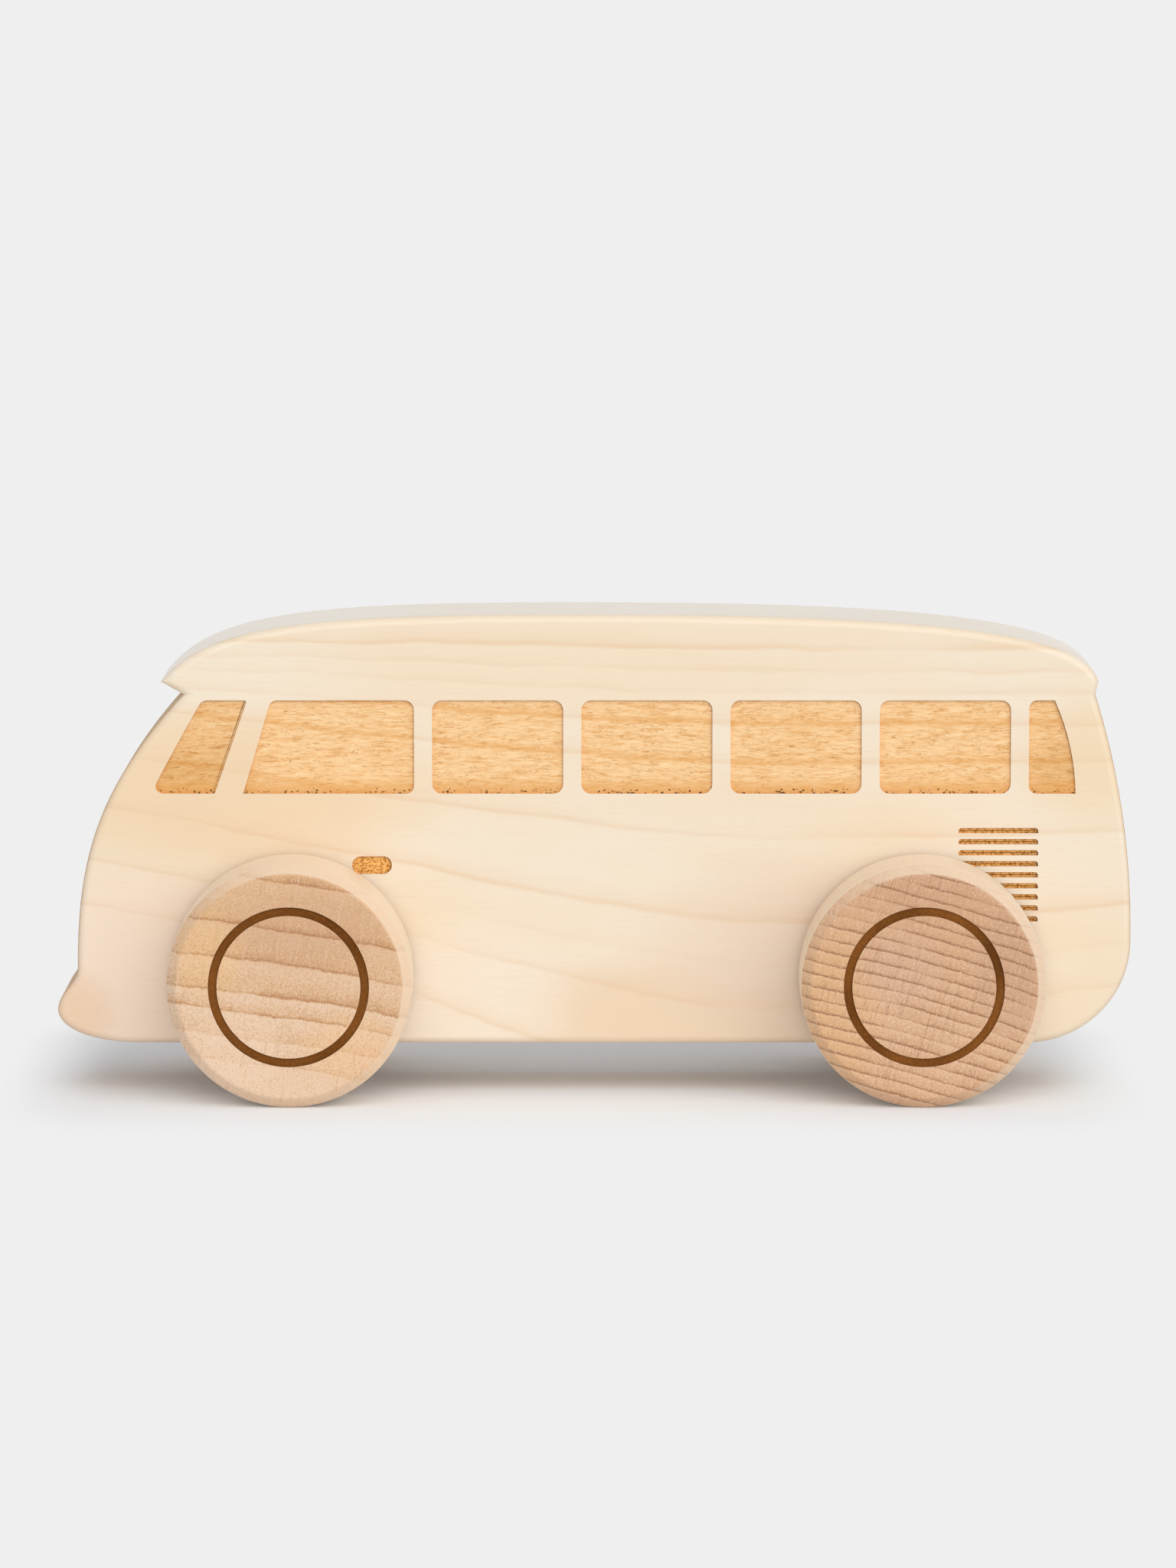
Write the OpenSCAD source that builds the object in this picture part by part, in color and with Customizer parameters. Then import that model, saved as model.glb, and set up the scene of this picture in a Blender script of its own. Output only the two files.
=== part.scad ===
// Wooden push-along toy bus: one profile-cut block with engraved windows,
// rolling on two dowel axles that each carry a glued pair of solid wheels.
// Millimetres. The front faces -X, the left side faces -Y, the wheels stand on Z = 0.

/* [Block] */
// Length of the block from the bumper tip to the tail
body_length = 177; // [165:1:195]
// Height of the block from its underside to the crown of the roof
body_height = 71; // [66:1:80]
// Thickness of the block from side face to side face
body_thickness = 26; // [18:1:40]
// Gap between the underside and the ground
ground_clearance = 8.3; // [5:0.1:12]
// Round-over along both edges of the outline
edge_round = 1.3; // [0.6:0.1:1.5]

/* [Nose and bumper] */
// Set-back of the upright part of the nose behind the bumper tip
nose_set_back = 3.3; // [1.5:0.1:5]
// Set-back of the brow notch, under the front lip, behind the bumper tip
brow_set_back = 21; // [18:0.1:24]
// Height of the bumper tip above the underside
bumper_rise = 5.5; // [4:0.1:7]
// Height of the hollow between the bumper tip and the upright nose
bumper_throat = 6.8; // [5:0.1:9]
// Run of the bumper's lower edge back to the flat underside
bumper_run = 14.4; // [10:0.1:18]

/* [Roof] */
// Height of the roof cap from the notches up to the crown
roof_rise = 13.2; // [11:0.1:16]
// Overhang of the front lip in front of the brow notch
front_lip_reach = 3.7; // [2.8:0.1:5]
// Overhang of the rear lip behind the tail notch
rear_lip_reach = 0.5; // [0.3:0.1:2]
// Height of both lip tips above their notches
lip_rise = 2.1; // [1.6:0.1:3]

/* [Tail] */
// Lean of the tail between its upright part and the tail notch
tail_lean = 6.1; // [4:0.1:9]
// Radius of the lower rear corner
tail_corner = 17; // [10:0.5:20]
// Upright stretch of the tail above the corner
tail_upright = 1.5; // [0.5:0.5:6]

/* [Engraved windows] */
// Depth of every engraving in the block
engrave_depth = 0.4; // [0.2:0.1:1]
// Drop of the window tops below the notches
window_drop = 0.9; // [0.6:0.1:2]
// Height of the window row
window_height = 15.4; // [12:0.1:18]
// Corner radius of the square windows
window_corner = 1.6; // [0.5:0.1:3]
// Pillar between neighbouring windows
pillar = 3; // [2:0.1:4]
// Set-back of the first square window behind the bumper tip
window_start = 61.9; // [58:0.1:66]
// Distance of the last square window in front of the tail
window_end = 20; // [17:0.1:24]
// Number of square windows in the row
window_count = 4; // [2:1:4]

/* [Engraved cab windows] */
// Width of the cab window along its top
cab_top = 23.5; // [20:0.1:26]
// Forward lean of the cab window's front edge
cab_lean = 4.6; // [2:0.1:6]
// Radius of the cab window's upper and rear corners
cab_corner = 1.3; // [0.5:0.1:2]
// Pillar between the cab window and the quarter light, along the top
quarter_pillar = 3.9; // [3:0.1:5]
// Wood between the brow notch and the quarter light, along its top
quarter_margin = 3.1; // [2:0.1:4]
// Forward lean of the quarter light's rear edge
quarter_rear_lean = 5.4; // [3:0.1:6]
// Forward lean of the quarter light's front edge
quarter_front_lean = 8.5; // [6:0.1:9]
// Outward bow of the quarter light's front edge
quarter_bow = 0.1; // [0.05:0.05:0.6]
// Radius of the quarter light's front corners
quarter_corner = 1.4; // [0.4:0.1:1.6]

/* [Engraved tail window] */
// Width of the tail window along its top
tail_window_top = 4.2; // [3:0.1:5]
// Rearward lean of the tail window's curved edge
tail_window_lean = 3.5; // [2:0.1:4]
// Outward bow of the tail window's curved edge
tail_window_bow = 0.8; // [0.1:0.05:1.2]
// Radius of the tail window's front corners
tail_window_corner = 1.3; // [0.4:0.1:1.5]

/* [Engraved handle and vents] */
// Width of the door handle
handle_width = 6.5; // [4:0.1:9]
// Height of the door handle
handle_height = 2.9; // [2:0.1:4]
// Distance of the door handle in front of the cab window's rear edge
handle_inset = 3.7; // [1:0.1:8]
// Drop of the door handle below the window sills
handle_drop = 10.4; // [6:0.1:14]
// Width of one vent slot
vent_width = 13.1; // [8:0.1:16]
// Height of one vent slot
vent_height = 0.85; // [0.5:0.05:1.2]
// Spacing of the vent slots
vent_pitch = 1.83; // [1.5:0.01:2.5]
// Number of vent slots
vent_count = 9; // [3:1:9]
// Distance of the vents in front of the tail
vent_inset = 15.4; // [12:0.1:20]
// Drop of the first vent slot below the window sills
vent_drop = 5.7; // [3:0.1:9]

/* [Wheels] */
// Distance between the two axles
wheelbase = 103.4; // [90:0.1:112]
// Distance of the front axle behind the bumper tip
front_overhang = 38.8; // [30:0.1:46]
// Diameter of a wheel
wheel_d = 40; // [34:1:46]
// Width of a wheel
wheel_width = 16; // [12:0.5:22]
// Chamfer round the outer face of a wheel
wheel_outer_edge = 1.6; // [0.5:0.1:3]
// Chamfer round the inner face of a wheel
wheel_inner_edge = 0.8; // [0.3:0.1:2]
// Middle diameter of the burnt ring on the outer face
ring_d = 24.8; // [18:0.1:28]
// Width of the burnt ring
ring_width = 1.4; // [0.6:0.1:3]
// Depth of the burnt ring
ring_depth = 0.3; // [0.1:0.1:1]

/* [Axles] */
// Diameter of an axle dowel
axle_d = 8; // [5:0.5:10]
// Chamfer at both ends of an axle dowel
axle_edge = 0.5; // [0.2:0.1:1]
// Depth of the blind hole in a wheel
wheel_bore_depth = 10; // [6:0.5:11]
// Room between the end of an axle and the bottom of its blind hole
axle_end_room = 0.4; // [0.1:0.1:1]
// Running clearance, on the radius, of an axle in the block
running_clearance = 0.08; // [0.02:0.01:0.1]
// Glue film, on the radius, between an axle and a wheel
glue_film = 0.04; // [0.02:0.01:0.08]
// Gap between a wheel and the side of the block
side_gap = 1; // [0.5:0.1:2]

/* [Hidden] */
$fn = 96;

maple = [0.95, 0.88, 0.78];
beech = [0.85, 0.69, 0.55];
dowel = [0.88, 0.75, 0.60];

// Flat steps in each curved stretch of the outline and in the round-over
roof_steps = 14;
nose_steps = 14;
bumper_steps = 9;
corner_steps = 14;
tail_steps = 8;
round_steps = 4;
fillet_steps = 6;
bow_steps = 5;

// Control points of the curved stretches, as shares of each stretch's own run and rise
nose_shares = [[0, 0.4], [0.19, 0.66]];
tail_shares = [[0, 0.34], [0.34, 0.68]];
front_roof_shares = [[0.11, 0.82], [0.32, 1]];
rear_roof_shares = [[0.025, 0.79], [0.37, 1]];
throat_shares = [[0, 0.34], [1, 0.6]];
bumper_shares = [[0, 0.47], [0.28, 1]];
// Place of the crown along the length of the block
crown_share = 0.48;
// Point inside the outline that sees all of it, where the side faces' triangles meet
hub_shares = [0.5, 0.42];
// Radius of the almost sharp window corners, of the vents' upper corners and of the handle's ends
sharp_corner_share = 0.25;
vent_corner_share = 0.6;
handle_corner_share = 0.48;
// Distance that every cut runs past the face that it opens, as a share of its depth
overrun_share = 1.5;
// Distance that the round-over runs on past the side faces, as a share of its last flat step
ring_overrun_share = 0.5;

notch_z = body_height - roof_rise;
lip_z = notch_z + lip_rise;
brow = [brow_set_back, notch_z];
front_lip = [brow_set_back - front_lip_reach, lip_z];
tail_notch = [body_length - tail_lean, notch_z];
rear_lip = [body_length - tail_lean + rear_lip_reach, lip_z];
crown = [crown_share * body_length, body_height];
bumper_tip = [0, bumper_rise];
nose_foot = [nose_set_back, bumper_rise + bumper_throat];
tail_foot = [body_length, tail_corner + tail_upright];

window_top = notch_z - window_drop;
sill = window_top - window_height;
window_pitch = (body_length - window_end - window_start + pillar) / window_count;
window_width = window_pitch - pillar;
cab_rear = window_start - pillar;
cab_front = cab_rear - cab_top;
quarter_rear = cab_front - quarter_pillar;
quarter_front = brow_set_back + quarter_margin;
tail_window_front = window_start + window_count * window_pitch;
tail_window_rear = tail_window_front + tail_window_top;

front_axle_x = front_overhang - body_length / 2;
rear_axle_x = front_axle_x + wheelbase;
axle_z = wheel_d / 2;
axle_reach = body_thickness / 2 + side_gap + wheel_bore_depth - axle_end_room;
wheel_y = body_thickness / 2 + side_gap;
overrun = overrun_share * engrave_depth;

// Direction of a plane vector, at length one
function unit(v) = v / norm(v);

// Normal on the left of a plane vector, which points into an outline that runs anticlockwise
function left_of(v) = [-v.y, v.x];

// Points of a cubic curve from a to d, without its last one
function curve(a, b, c, d, steps) = [
    for (i = [0 : steps - 1])
        let (t = i / steps, s = 1 - t)
        s * s * s * a + 3 * s * s * t * b + 3 * s * t * t * c + t * t * t * d
];

// Curve from a to d whose control points are given as shares of its run and rise
function shaped(a, d, shares, steps) =
    let (span = d - a)
    curve(
        a,
        a + [span.x * shares[0].x, span.y * shares[0].y],
        a + [span.x * shares[1].x, span.y * shares[1].y],
        d,
        steps
    );

// The same list of points, back to front
function backwards(points) = [for (i = [len(points) - 1 : -1 : 0]) points[i]];

// Curve that ends in a, drawn by the shares of the same curve started in a
function shaped_back(d, a, shares, steps) =
    let (points = concat(shaped(a, d, shares, steps), [d]))
    [for (i = [len(points) - 1 : -1 : 1]) points[i]];

// Points of an arc, without its last one
function arc(centre, radius, from, to, steps) = [
    for (i = [0 : steps - 1])
        let (a = from + (to - from) * i / steps)
        centre + radius * [cos(a), sin(a)]
];

// Edge from p to q that bows out to its left by a small height, without its two ends
function bowed(p, q, bow) =
    let (middle = (p + q) / 2 + 2 * bow * left_of(unit(q - p)))
    [
        for (i = [1 : bow_steps - 1])
            let (t = i / bow_steps, s = 1 - t)
            s * s * p + 2 * s * t * middle + t * t * q
    ];

// A corner b between a and c, rounded to a radius
function rounded_corner(a, b, c, radius) =
    let (
        u = unit(a - b),
        v = unit(c - b),
        half = acos(u * v) / 2,
        centre = b + unit(u + v) * radius / sin(half),
        start = b + u * radius / tan(half) - centre,
        end = b + v * radius / tan(half) - centre,
        turn = 180 - 2 * half
    )
    [
        for (i = [0 : fillet_steps])
            let (t = i / fillet_steps)
            centre + (start * sin((1 - t) * turn) + end * sin(t * turn)) / sin(turn)
    ];

// A closed outline with a radius at each corner, where zero keeps the corner
function rounded(corners, radii) =
    let (n = len(corners))
    [
        for (i = [0 : n - 1])
            each radii[i] > 0
                ? rounded_corner(corners[(i + n - 1) % n], corners[i], corners[(i + 1) % n], radii[i])
                : [corners[i]]
    ];

// A closed anticlockwise outline moved inwards by a distance
function inset(outline, distance) =
    let (n = len(outline))
    [
        for (i = [0 : n - 1])
            let (
                before = left_of(unit(outline[i] - outline[(i + n - 1) % n])),
                after = left_of(unit(outline[(i + 1) % n] - outline[i]))
            )
            outline[i] + distance * (before + after) / (1 + before * after)
    ];

// Side view of the block, anticlockwise from the front end of its flat underside
block_outline = concat(
    [[bumper_run, 0]],
    arc([body_length - tail_corner, tail_corner], tail_corner, -90, 0, corner_steps),
    [[body_length, tail_corner]],
    shaped(tail_foot, tail_notch, tail_shares, tail_steps),
    [tail_notch],
    shaped(rear_lip, crown, rear_roof_shares, roof_steps),
    shaped_back(crown, front_lip, front_roof_shares, roof_steps),
    [front_lip],
    shaped_back(brow, nose_foot, nose_shares, nose_steps),
    shaped(nose_foot, bumper_tip, throat_shares, bumper_steps),
    curve(
        bumper_tip,
        bumper_tip - [0, bumper_shares[0].y * bumper_rise],
        [bumper_shares[1].x * bumper_run, 0],
        [bumper_run, 0],
        bumper_steps
    )
);

// Place across the block and inset of each ring of the round-over, from the left side to the right.
// The first and last rings run on past the side faces, where the slab cuts them.
side_rings = [
    for (i = [0 : round_steps])
        let (a = 90 * i / round_steps)
        [edge_round * (1 - cos(a)) - body_thickness / 2, edge_round * (1 - sin(a))]
];
left_rings = [
    for (i = [0 : round_steps])
        i > 0 ? side_rings[i] : side_rings[0] + ring_overrun_share * (side_rings[0] - side_rings[1])
];
block_rings = concat(left_rings, [for (ring = backwards(left_rings)) [-ring[0], ring[1]]]);

// Outlines of the engravings, which all lie on the side faces
quarter_light = rounded(
    concat(
        [
            [quarter_rear, window_top],
            [quarter_front, window_top],
        ],
        backwards(bowed(
            [quarter_front - quarter_front_lean, sill],
            [quarter_front, window_top],
            quarter_bow
        )),
        [
            [quarter_front - quarter_front_lean, sill],
            [quarter_rear - quarter_rear_lean, sill],
        ]
    ),
    concat(
        [sharp_corner_share * quarter_corner, quarter_corner],
        [for (i = [1 : bow_steps - 1]) 0],
        [quarter_corner, sharp_corner_share * quarter_corner]
    )
);
cab_window = rounded(
    [[cab_rear, window_top], [cab_front, window_top], [cab_front - cab_lean, sill], [cab_rear, sill]],
    [window_corner, cab_corner, sharp_corner_share * cab_corner, cab_corner]
);
square_window = rounded(
    [[window_width, window_top], [0, window_top], [0, sill], [window_width, sill]],
    [for (i = [1 : 4]) window_corner]
);
tail_window = rounded(
    concat(
        [
            [tail_window_rear, window_top],
            [tail_window_front, window_top],
            [tail_window_front, sill],
            [tail_window_rear + tail_window_lean, sill],
        ],
        backwards(bowed(
            [tail_window_rear, window_top],
            [tail_window_rear + tail_window_lean, sill],
            tail_window_bow
        ))
    ),
    concat(
        [
            sharp_corner_share * tail_window_corner,
            tail_window_corner,
            tail_window_corner,
            sharp_corner_share * tail_window_corner,
        ],
        [for (i = [1 : bow_steps - 1]) 0]
    )
);
vent_slot = rounded(
    [[vent_width, 0], [0, 0], [0, -vent_height], [vent_width, -vent_height]],
    [vent_corner_share * vent_height, vent_corner_share * vent_height, 0, 0]
);

// The block without engravings: the outline carried across its thickness, with rounded edges
module rounded_block() {
    n = len(block_outline);
    rings = len(block_rings);
    skin = [
        for (ring = block_rings)
            for (p = inset(block_outline, ring[1]))
                [p.x, ring[0], p.y]
    ];
    hubs = [
        for (side = [-1, 1])
            [hub_shares[0] * body_length, -side * block_rings[0][0], hub_shares[1] * body_height]
    ];
    last = (rings - 1) * n;
    faces = concat(
        [for (i = [0 : n - 1]) [rings * n, (i + 1) % n, i]],
        [
            for (k = [0 : rings - 2])
                for (i = [0 : n - 1])
                    [k * n + i, k * n + (i + 1) % n, (k + 1) * n + (i + 1) % n, (k + 1) * n + i]
        ],
        [for (i = [0 : n - 1]) [rings * n + 1, last + i, last + (i + 1) % n]]
    );
    intersection() {
        polyhedron(points = concat(skin, hubs), faces = faces);
        translate([body_length / 2, 0, body_height / 2])
            cube([2 * body_length, body_thickness, 2 * body_height], center = true);
    }
}

// A shallow cut of the given outline into the left side face
module engrave(outline) {
    translate([0, engrave_depth - body_thickness / 2, 0])
        rotate([90, 0, 0])
            linear_extrude(height = engrave_depth + overrun)
                polygon(outline);
}

// All engravings of the left side face
module left_side_engravings() {
    engrave(quarter_light);
    engrave(cab_window);
    for (i = [0 : window_count - 1])
        translate([window_start + i * window_pitch, 0, 0])
            engrave(square_window);
    engrave(tail_window);
    for (i = [0 : vent_count - 1])
        translate([body_length - vent_inset - vent_width, 0, sill - vent_drop - i * vent_pitch])
            engrave(vent_slot);
    translate([cab_rear - handle_inset - handle_width, 0, sill - handle_drop])
        engrave(rounded(
            [[handle_width, 0], [0, 0], [0, -handle_height], [handle_width, -handle_height]],
            [for (i = [1 : 4]) handle_corner_share * handle_height]
        ));
}

// A hole right through the block for an axle, given its place along the toy
module axle_hole(x) {
    translate([x, 0, axle_z])
        rotate([90, 0, 0])
            cylinder(r = axle_d / 2 + running_clearance, h = body_thickness + 2 * overrun, center = true);
}

module body() {
    color(maple)
        difference() {
            translate([-body_length / 2, 0, ground_clearance])
                difference() {
                    rounded_block();
                    left_side_engravings();
                    mirror([0, 1, 0])
                        left_side_engravings();
                }
            axle_hole(front_axle_x);
            axle_hole(rear_axle_x);
        }
}

// A dowel across the toy with chamfered ends, given its place along the toy
module axle(x) {
    radius = axle_d / 2;
    color(dowel)
        translate([x, 0, axle_z])
            rotate([90, 0, 0])
                rotate_extrude()
                    polygon([
                        [0, -axle_reach],
                        [radius - axle_edge, -axle_reach],
                        [radius, axle_edge - axle_reach],
                        [radius, axle_reach - axle_edge],
                        [radius - axle_edge, axle_reach],
                        [0, axle_reach],
                    ]);
}

module front_axle() {
    axle(front_axle_x);
}

module rear_axle() {
    axle(rear_axle_x);
}

// A wheel with a blind hole in its inner face and a burnt ring in its outer face,
// given its place along the toy and its side, -1 for left and 1 for right
module wheel(x, side) {
    radius = wheel_d / 2;
    bore = axle_d / 2 + glue_film;
    color(beech)
        translate([x, side * wheel_y, axle_z])
            rotate([-90 * side, 0, 0])
                rotate_extrude()
                    polygon([
                        [bore, 0],
                        [radius - wheel_inner_edge, 0],
                        [radius, wheel_inner_edge],
                        [radius, wheel_width - wheel_outer_edge],
                        [radius - wheel_outer_edge, wheel_width],
                        [(ring_d + ring_width) / 2, wheel_width],
                        [(ring_d + ring_width) / 2, wheel_width - ring_depth],
                        [(ring_d - ring_width) / 2, wheel_width - ring_depth],
                        [(ring_d - ring_width) / 2, wheel_width],
                        [0, wheel_width],
                        [0, wheel_bore_depth],
                        [bore, wheel_bore_depth],
                    ]);
}

module front_left_wheel() {
    wheel(front_axle_x, -1);
}

module front_right_wheel() {
    wheel(front_axle_x, 1);
}

module rear_left_wheel() {
    wheel(rear_axle_x, -1);
}

module rear_right_wheel() {
    wheel(rear_axle_x, 1);
}

body();
front_axle();
rear_axle();
front_left_wheel();
front_right_wheel();
rear_left_wheel();
rear_right_wheel();
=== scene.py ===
"""Dress the wooden toy bus: a maple block with engraved windows that rolls on two wheelsets.

Sizes in the classes are millimetres, and become metres where a mesh is made. The front of the
toy faces -X, its left side faces -Y, and the wheels stand on Z = 0. A point counts as on a plane
within TOUCH metres, and as on a circle within NEAR millimetres.
"""

import logging
import math
from collections.abc import Callable, Iterator, Sequence
from contextlib import contextmanager
from dataclasses import dataclass, field
from enum import Enum, IntEnum
from typing import Any

import bmesh
import bpy
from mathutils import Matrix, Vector


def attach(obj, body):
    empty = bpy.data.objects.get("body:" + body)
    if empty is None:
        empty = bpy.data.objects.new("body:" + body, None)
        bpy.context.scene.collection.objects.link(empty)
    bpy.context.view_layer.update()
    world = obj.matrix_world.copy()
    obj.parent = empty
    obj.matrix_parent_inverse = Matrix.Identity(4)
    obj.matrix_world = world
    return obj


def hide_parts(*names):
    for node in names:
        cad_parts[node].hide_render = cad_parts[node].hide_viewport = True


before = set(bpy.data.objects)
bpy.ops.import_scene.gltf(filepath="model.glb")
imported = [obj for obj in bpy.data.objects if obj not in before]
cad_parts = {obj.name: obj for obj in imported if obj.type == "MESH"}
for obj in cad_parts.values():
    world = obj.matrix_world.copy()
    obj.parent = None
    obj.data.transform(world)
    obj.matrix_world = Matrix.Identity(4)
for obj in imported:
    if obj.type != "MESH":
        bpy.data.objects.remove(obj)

MM = 0.001
TOUCH = 1e-6
NEAR = 0.05
Point = tuple[float, float]
Colour = tuple[float, float, float, float]
Socket = bpy.types.NodeSocket
log = logging.getLogger("toy_bus")


def tint(red: int, green: int, blue: int) -> Colour:
    """Turn a colour as seen on a screen into the linear colour that a shader takes.

    Args:
        red: Red part, 0 to 255.
        green: Green part, 0 to 255.
        blue: Blue part, 0 to 255.

    Returns:
        The linear colour with full cover.
    """

    def linear(part: int) -> float:
        """Undo the screen's curve on one part."""
        share = part / 255
        return share / 12.92 if share <= 0.04045 else ((share + 0.055) / 1.055) ** 2.4

    return (linear(red), linear(green), linear(blue), 1.0)


class Wood(IntEnum):
    """Places of a piece's finishes among its materials."""

    PLAIN = 0
    BURNT = 1
    SAWN = 2


class Side(Enum):
    """Side of the toy, as the sign of its Y direction."""

    LEFT = -1
    RIGHT = 1


class Recipe:
    """Node tree of one finish, with short calls that add a node and join it up."""

    def __init__(self, owner: bpy.types.Material | bpy.types.World) -> None:
        """Start with an empty tree.

        Args:
            owner: Material or world that gets the tree.
        """
        self.owner = owner
        owner.use_nodes = True
        self.tree = owner.node_tree
        self.tree.nodes.clear()

    @classmethod
    def named(cls, name: str) -> "Recipe":
        """Start the recipe of a new material."""
        return cls(bpy.data.materials.new(name))

    def add(self, kind: str, values: Any = (), **settings: Any) -> bpy.types.Node:
        """Add a node and give its inputs a link or a plain value each.

        Args:
            kind: Type of the node, without the words ShaderNode.
            values: What goes into the inputs, in their order or by their names.
            **settings: Values for the node's own fields.

        Returns:
            The new node.
        """
        node = self.tree.nodes.new("ShaderNode" + kind)
        for key, value in settings.items():
            setattr(node, key, value)
        inputs = values if isinstance(values, dict) else dict(enumerate(values))
        for key, value in inputs.items():
            if isinstance(value, bpy.types.NodeSocket):
                self.tree.links.new(value, node.inputs[key])
            else:
                node.inputs[key].default_value = value
        return node

    def math(self, operation: str, *values: Any) -> Socket:
        """Do arithmetic on up to three values."""
        return self.add("Math", values, operation=operation).outputs[0]

    def times(self, first: Any, second: Any) -> Socket:
        """Multiply two values."""
        return self.math("MULTIPLY", first, second)

    def scaled(self, value: Any, factor: Any, base: Any) -> Socket:
        """Multiply two values and add a third."""
        return self.math("MULTIPLY_ADD", value, factor, base)

    def span(
        self, value: Any, low: float, high: float, start: float = 0.0, end: float = 1.0
    ) -> Socket:
        """Ease a value from one range to another, held at both ends.

        Args:
            value: The value.
            low: Where the result is start.
            high: Where the result is end.
            start: Result at low.
            end: Result at high.

        Returns:
            The eased value.
        """
        values = (value, low, high, start, end)
        return self.add("MapRange", values, interpolation_type="SMOOTHSTEP").outputs[0]

    def place(self) -> Socket:
        """Give the point on the piece, in millimetres."""
        values = {0: self.add("TexCoord").outputs["Object"], "Scale": 1 / MM}
        return self.add("VectorMath", values, operation="SCALE").outputs[0]

    def stretch(self, point: Socket, scale: Sequence[float], shift: Sequence[float]) -> Socket:
        """Scale a point along each axis, then move it."""
        return self.add("Mapping", {"Vector": point, "Scale": scale, "Location": shift}).outputs[0]

    def parts(self, point: Socket) -> tuple[Socket, ...]:
        """Take a point apart into its three coordinates."""
        return tuple(self.add("SeparateXYZ", (point,)).outputs)

    def join(self, x: Any, y: Any, z: Any) -> Socket:
        """Put three coordinates together to a point."""
        return self.add("CombineXYZ", (x, y, z)).outputs[0]

    def noise(
        self,
        point: Socket,
        scale: Sequence[float],
        shift: Sequence[float] = (0, 0, 0),
        detail: float = 2.0,
        rough: float = 0.5,
        bend: float = 0.0,
    ) -> Socket:
        """Give soft noise.

        Args:
            point: Where the noise is read.
            scale: Patches per millimetre along each axis.
            shift: Shift that sets the pattern apart.
            detail: Number of finer layers.
            rough: Strength of the finer layers.
            bend: Distortion of the noise by itself.

        Returns:
            The noise, near 0.5.
        """
        values = {
            "Vector": self.stretch(point, scale, shift),
            "Scale": 1.0,
            "Detail": detail,
            "Roughness": rough,
            "Distortion": bend,
        }
        return self.add("TexNoise", values, noise_dimensions="3D").outputs["Fac"]

    def dots(
        self, point: Socket, scale: Sequence[float], shift: Sequence[float] = (0, 0, 0)
    ) -> Socket:
        """Give the distance to the nearest of a scatter of points.

        Args:
            point: Where it is read.
            scale: Points per millimetre along each axis.
            shift: Shift that sets the pattern apart.

        Returns:
            The distance, as a share of their usual spacing.
        """
        values = {"Vector": self.stretch(point, scale, shift), "Scale": 1.0}
        return self.add("TexVoronoi", values, feature="F1").outputs["Distance"]

    def ramp(self, share: Socket, stops: Sequence[tuple[float, Any]]) -> Socket:
        """Look a value up on a row of stops.

        Args:
            share: Value from 0 to 1.
            stops: Place and colour, or place and grey level, of each stop.

        Returns:
            The colour.
        """
        node = self.add("ValToRGB", (share,))
        steps = node.color_ramp.elements
        while len(steps) < len(stops):
            steps.new(1.0)
        for step, (at, shade) in zip(steps, sorted(stops, key=lambda stop: stop[0])):
            step.position = at
            step.color = shade if isinstance(shade, tuple) else (shade, shade, shade, 1.0)
        return node.outputs["Color"]

    def mix(self, share: Any, first: Any, second: Any, blend: str = "MIX") -> Socket:
        """Mix two colours.

        Args:
            share: Share of the second colour.
            first: First colour.
            second: Second colour.
            blend: Way of mixing.

        Returns:
            The mixed colour.
        """
        values = {"Factor": share, "A": first, "B": second}
        return self.add("Mix", values, data_type="RGBA", blend_type=blend).outputs["Result"]

    def attribute(self, name: str) -> Socket:
        """Read a value that the mesh carries by its name."""
        return self.add("Attribute", attribute_name=name).outputs["Fac"]

    def mix_shaders(self, share: Any, first: bpy.types.Node, second: bpy.types.Node) -> Socket:
        """Mix the shaders of two nodes, by the share of the second one."""
        return self.add("MixShader", (share, first.outputs[0], second.outputs[0])).outputs[0]

    def finish(
        self, colour: Socket, roughness: Any, height: Socket, depth: float, shine: float = 0.5
    ) -> bpy.types.Material:
        """End the tree with the surface of sanded wood.

        Args:
            colour: Colour of the wood.
            roughness: Roughness of the wood.
            height: Height of the fine relief, near 0.5.
            depth: Depth of that relief in millimetres.
            shine: Strength of the reflection.

        Returns:
            The finished material.
        """
        relief = {"Height": height, "Distance": depth * MM, "Strength": 1.0}
        surface = {
            "Base Color": colour,
            "Roughness": roughness,
            "IOR": 1.5,
            "Specular IOR Level": shine,
            "Normal": self.add("Bump", relief).outputs[0],
        }
        self.add("OutputMaterial", {"Surface": self.add("BsdfPrincipled", surface).outputs[0]})
        return self.owner


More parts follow.
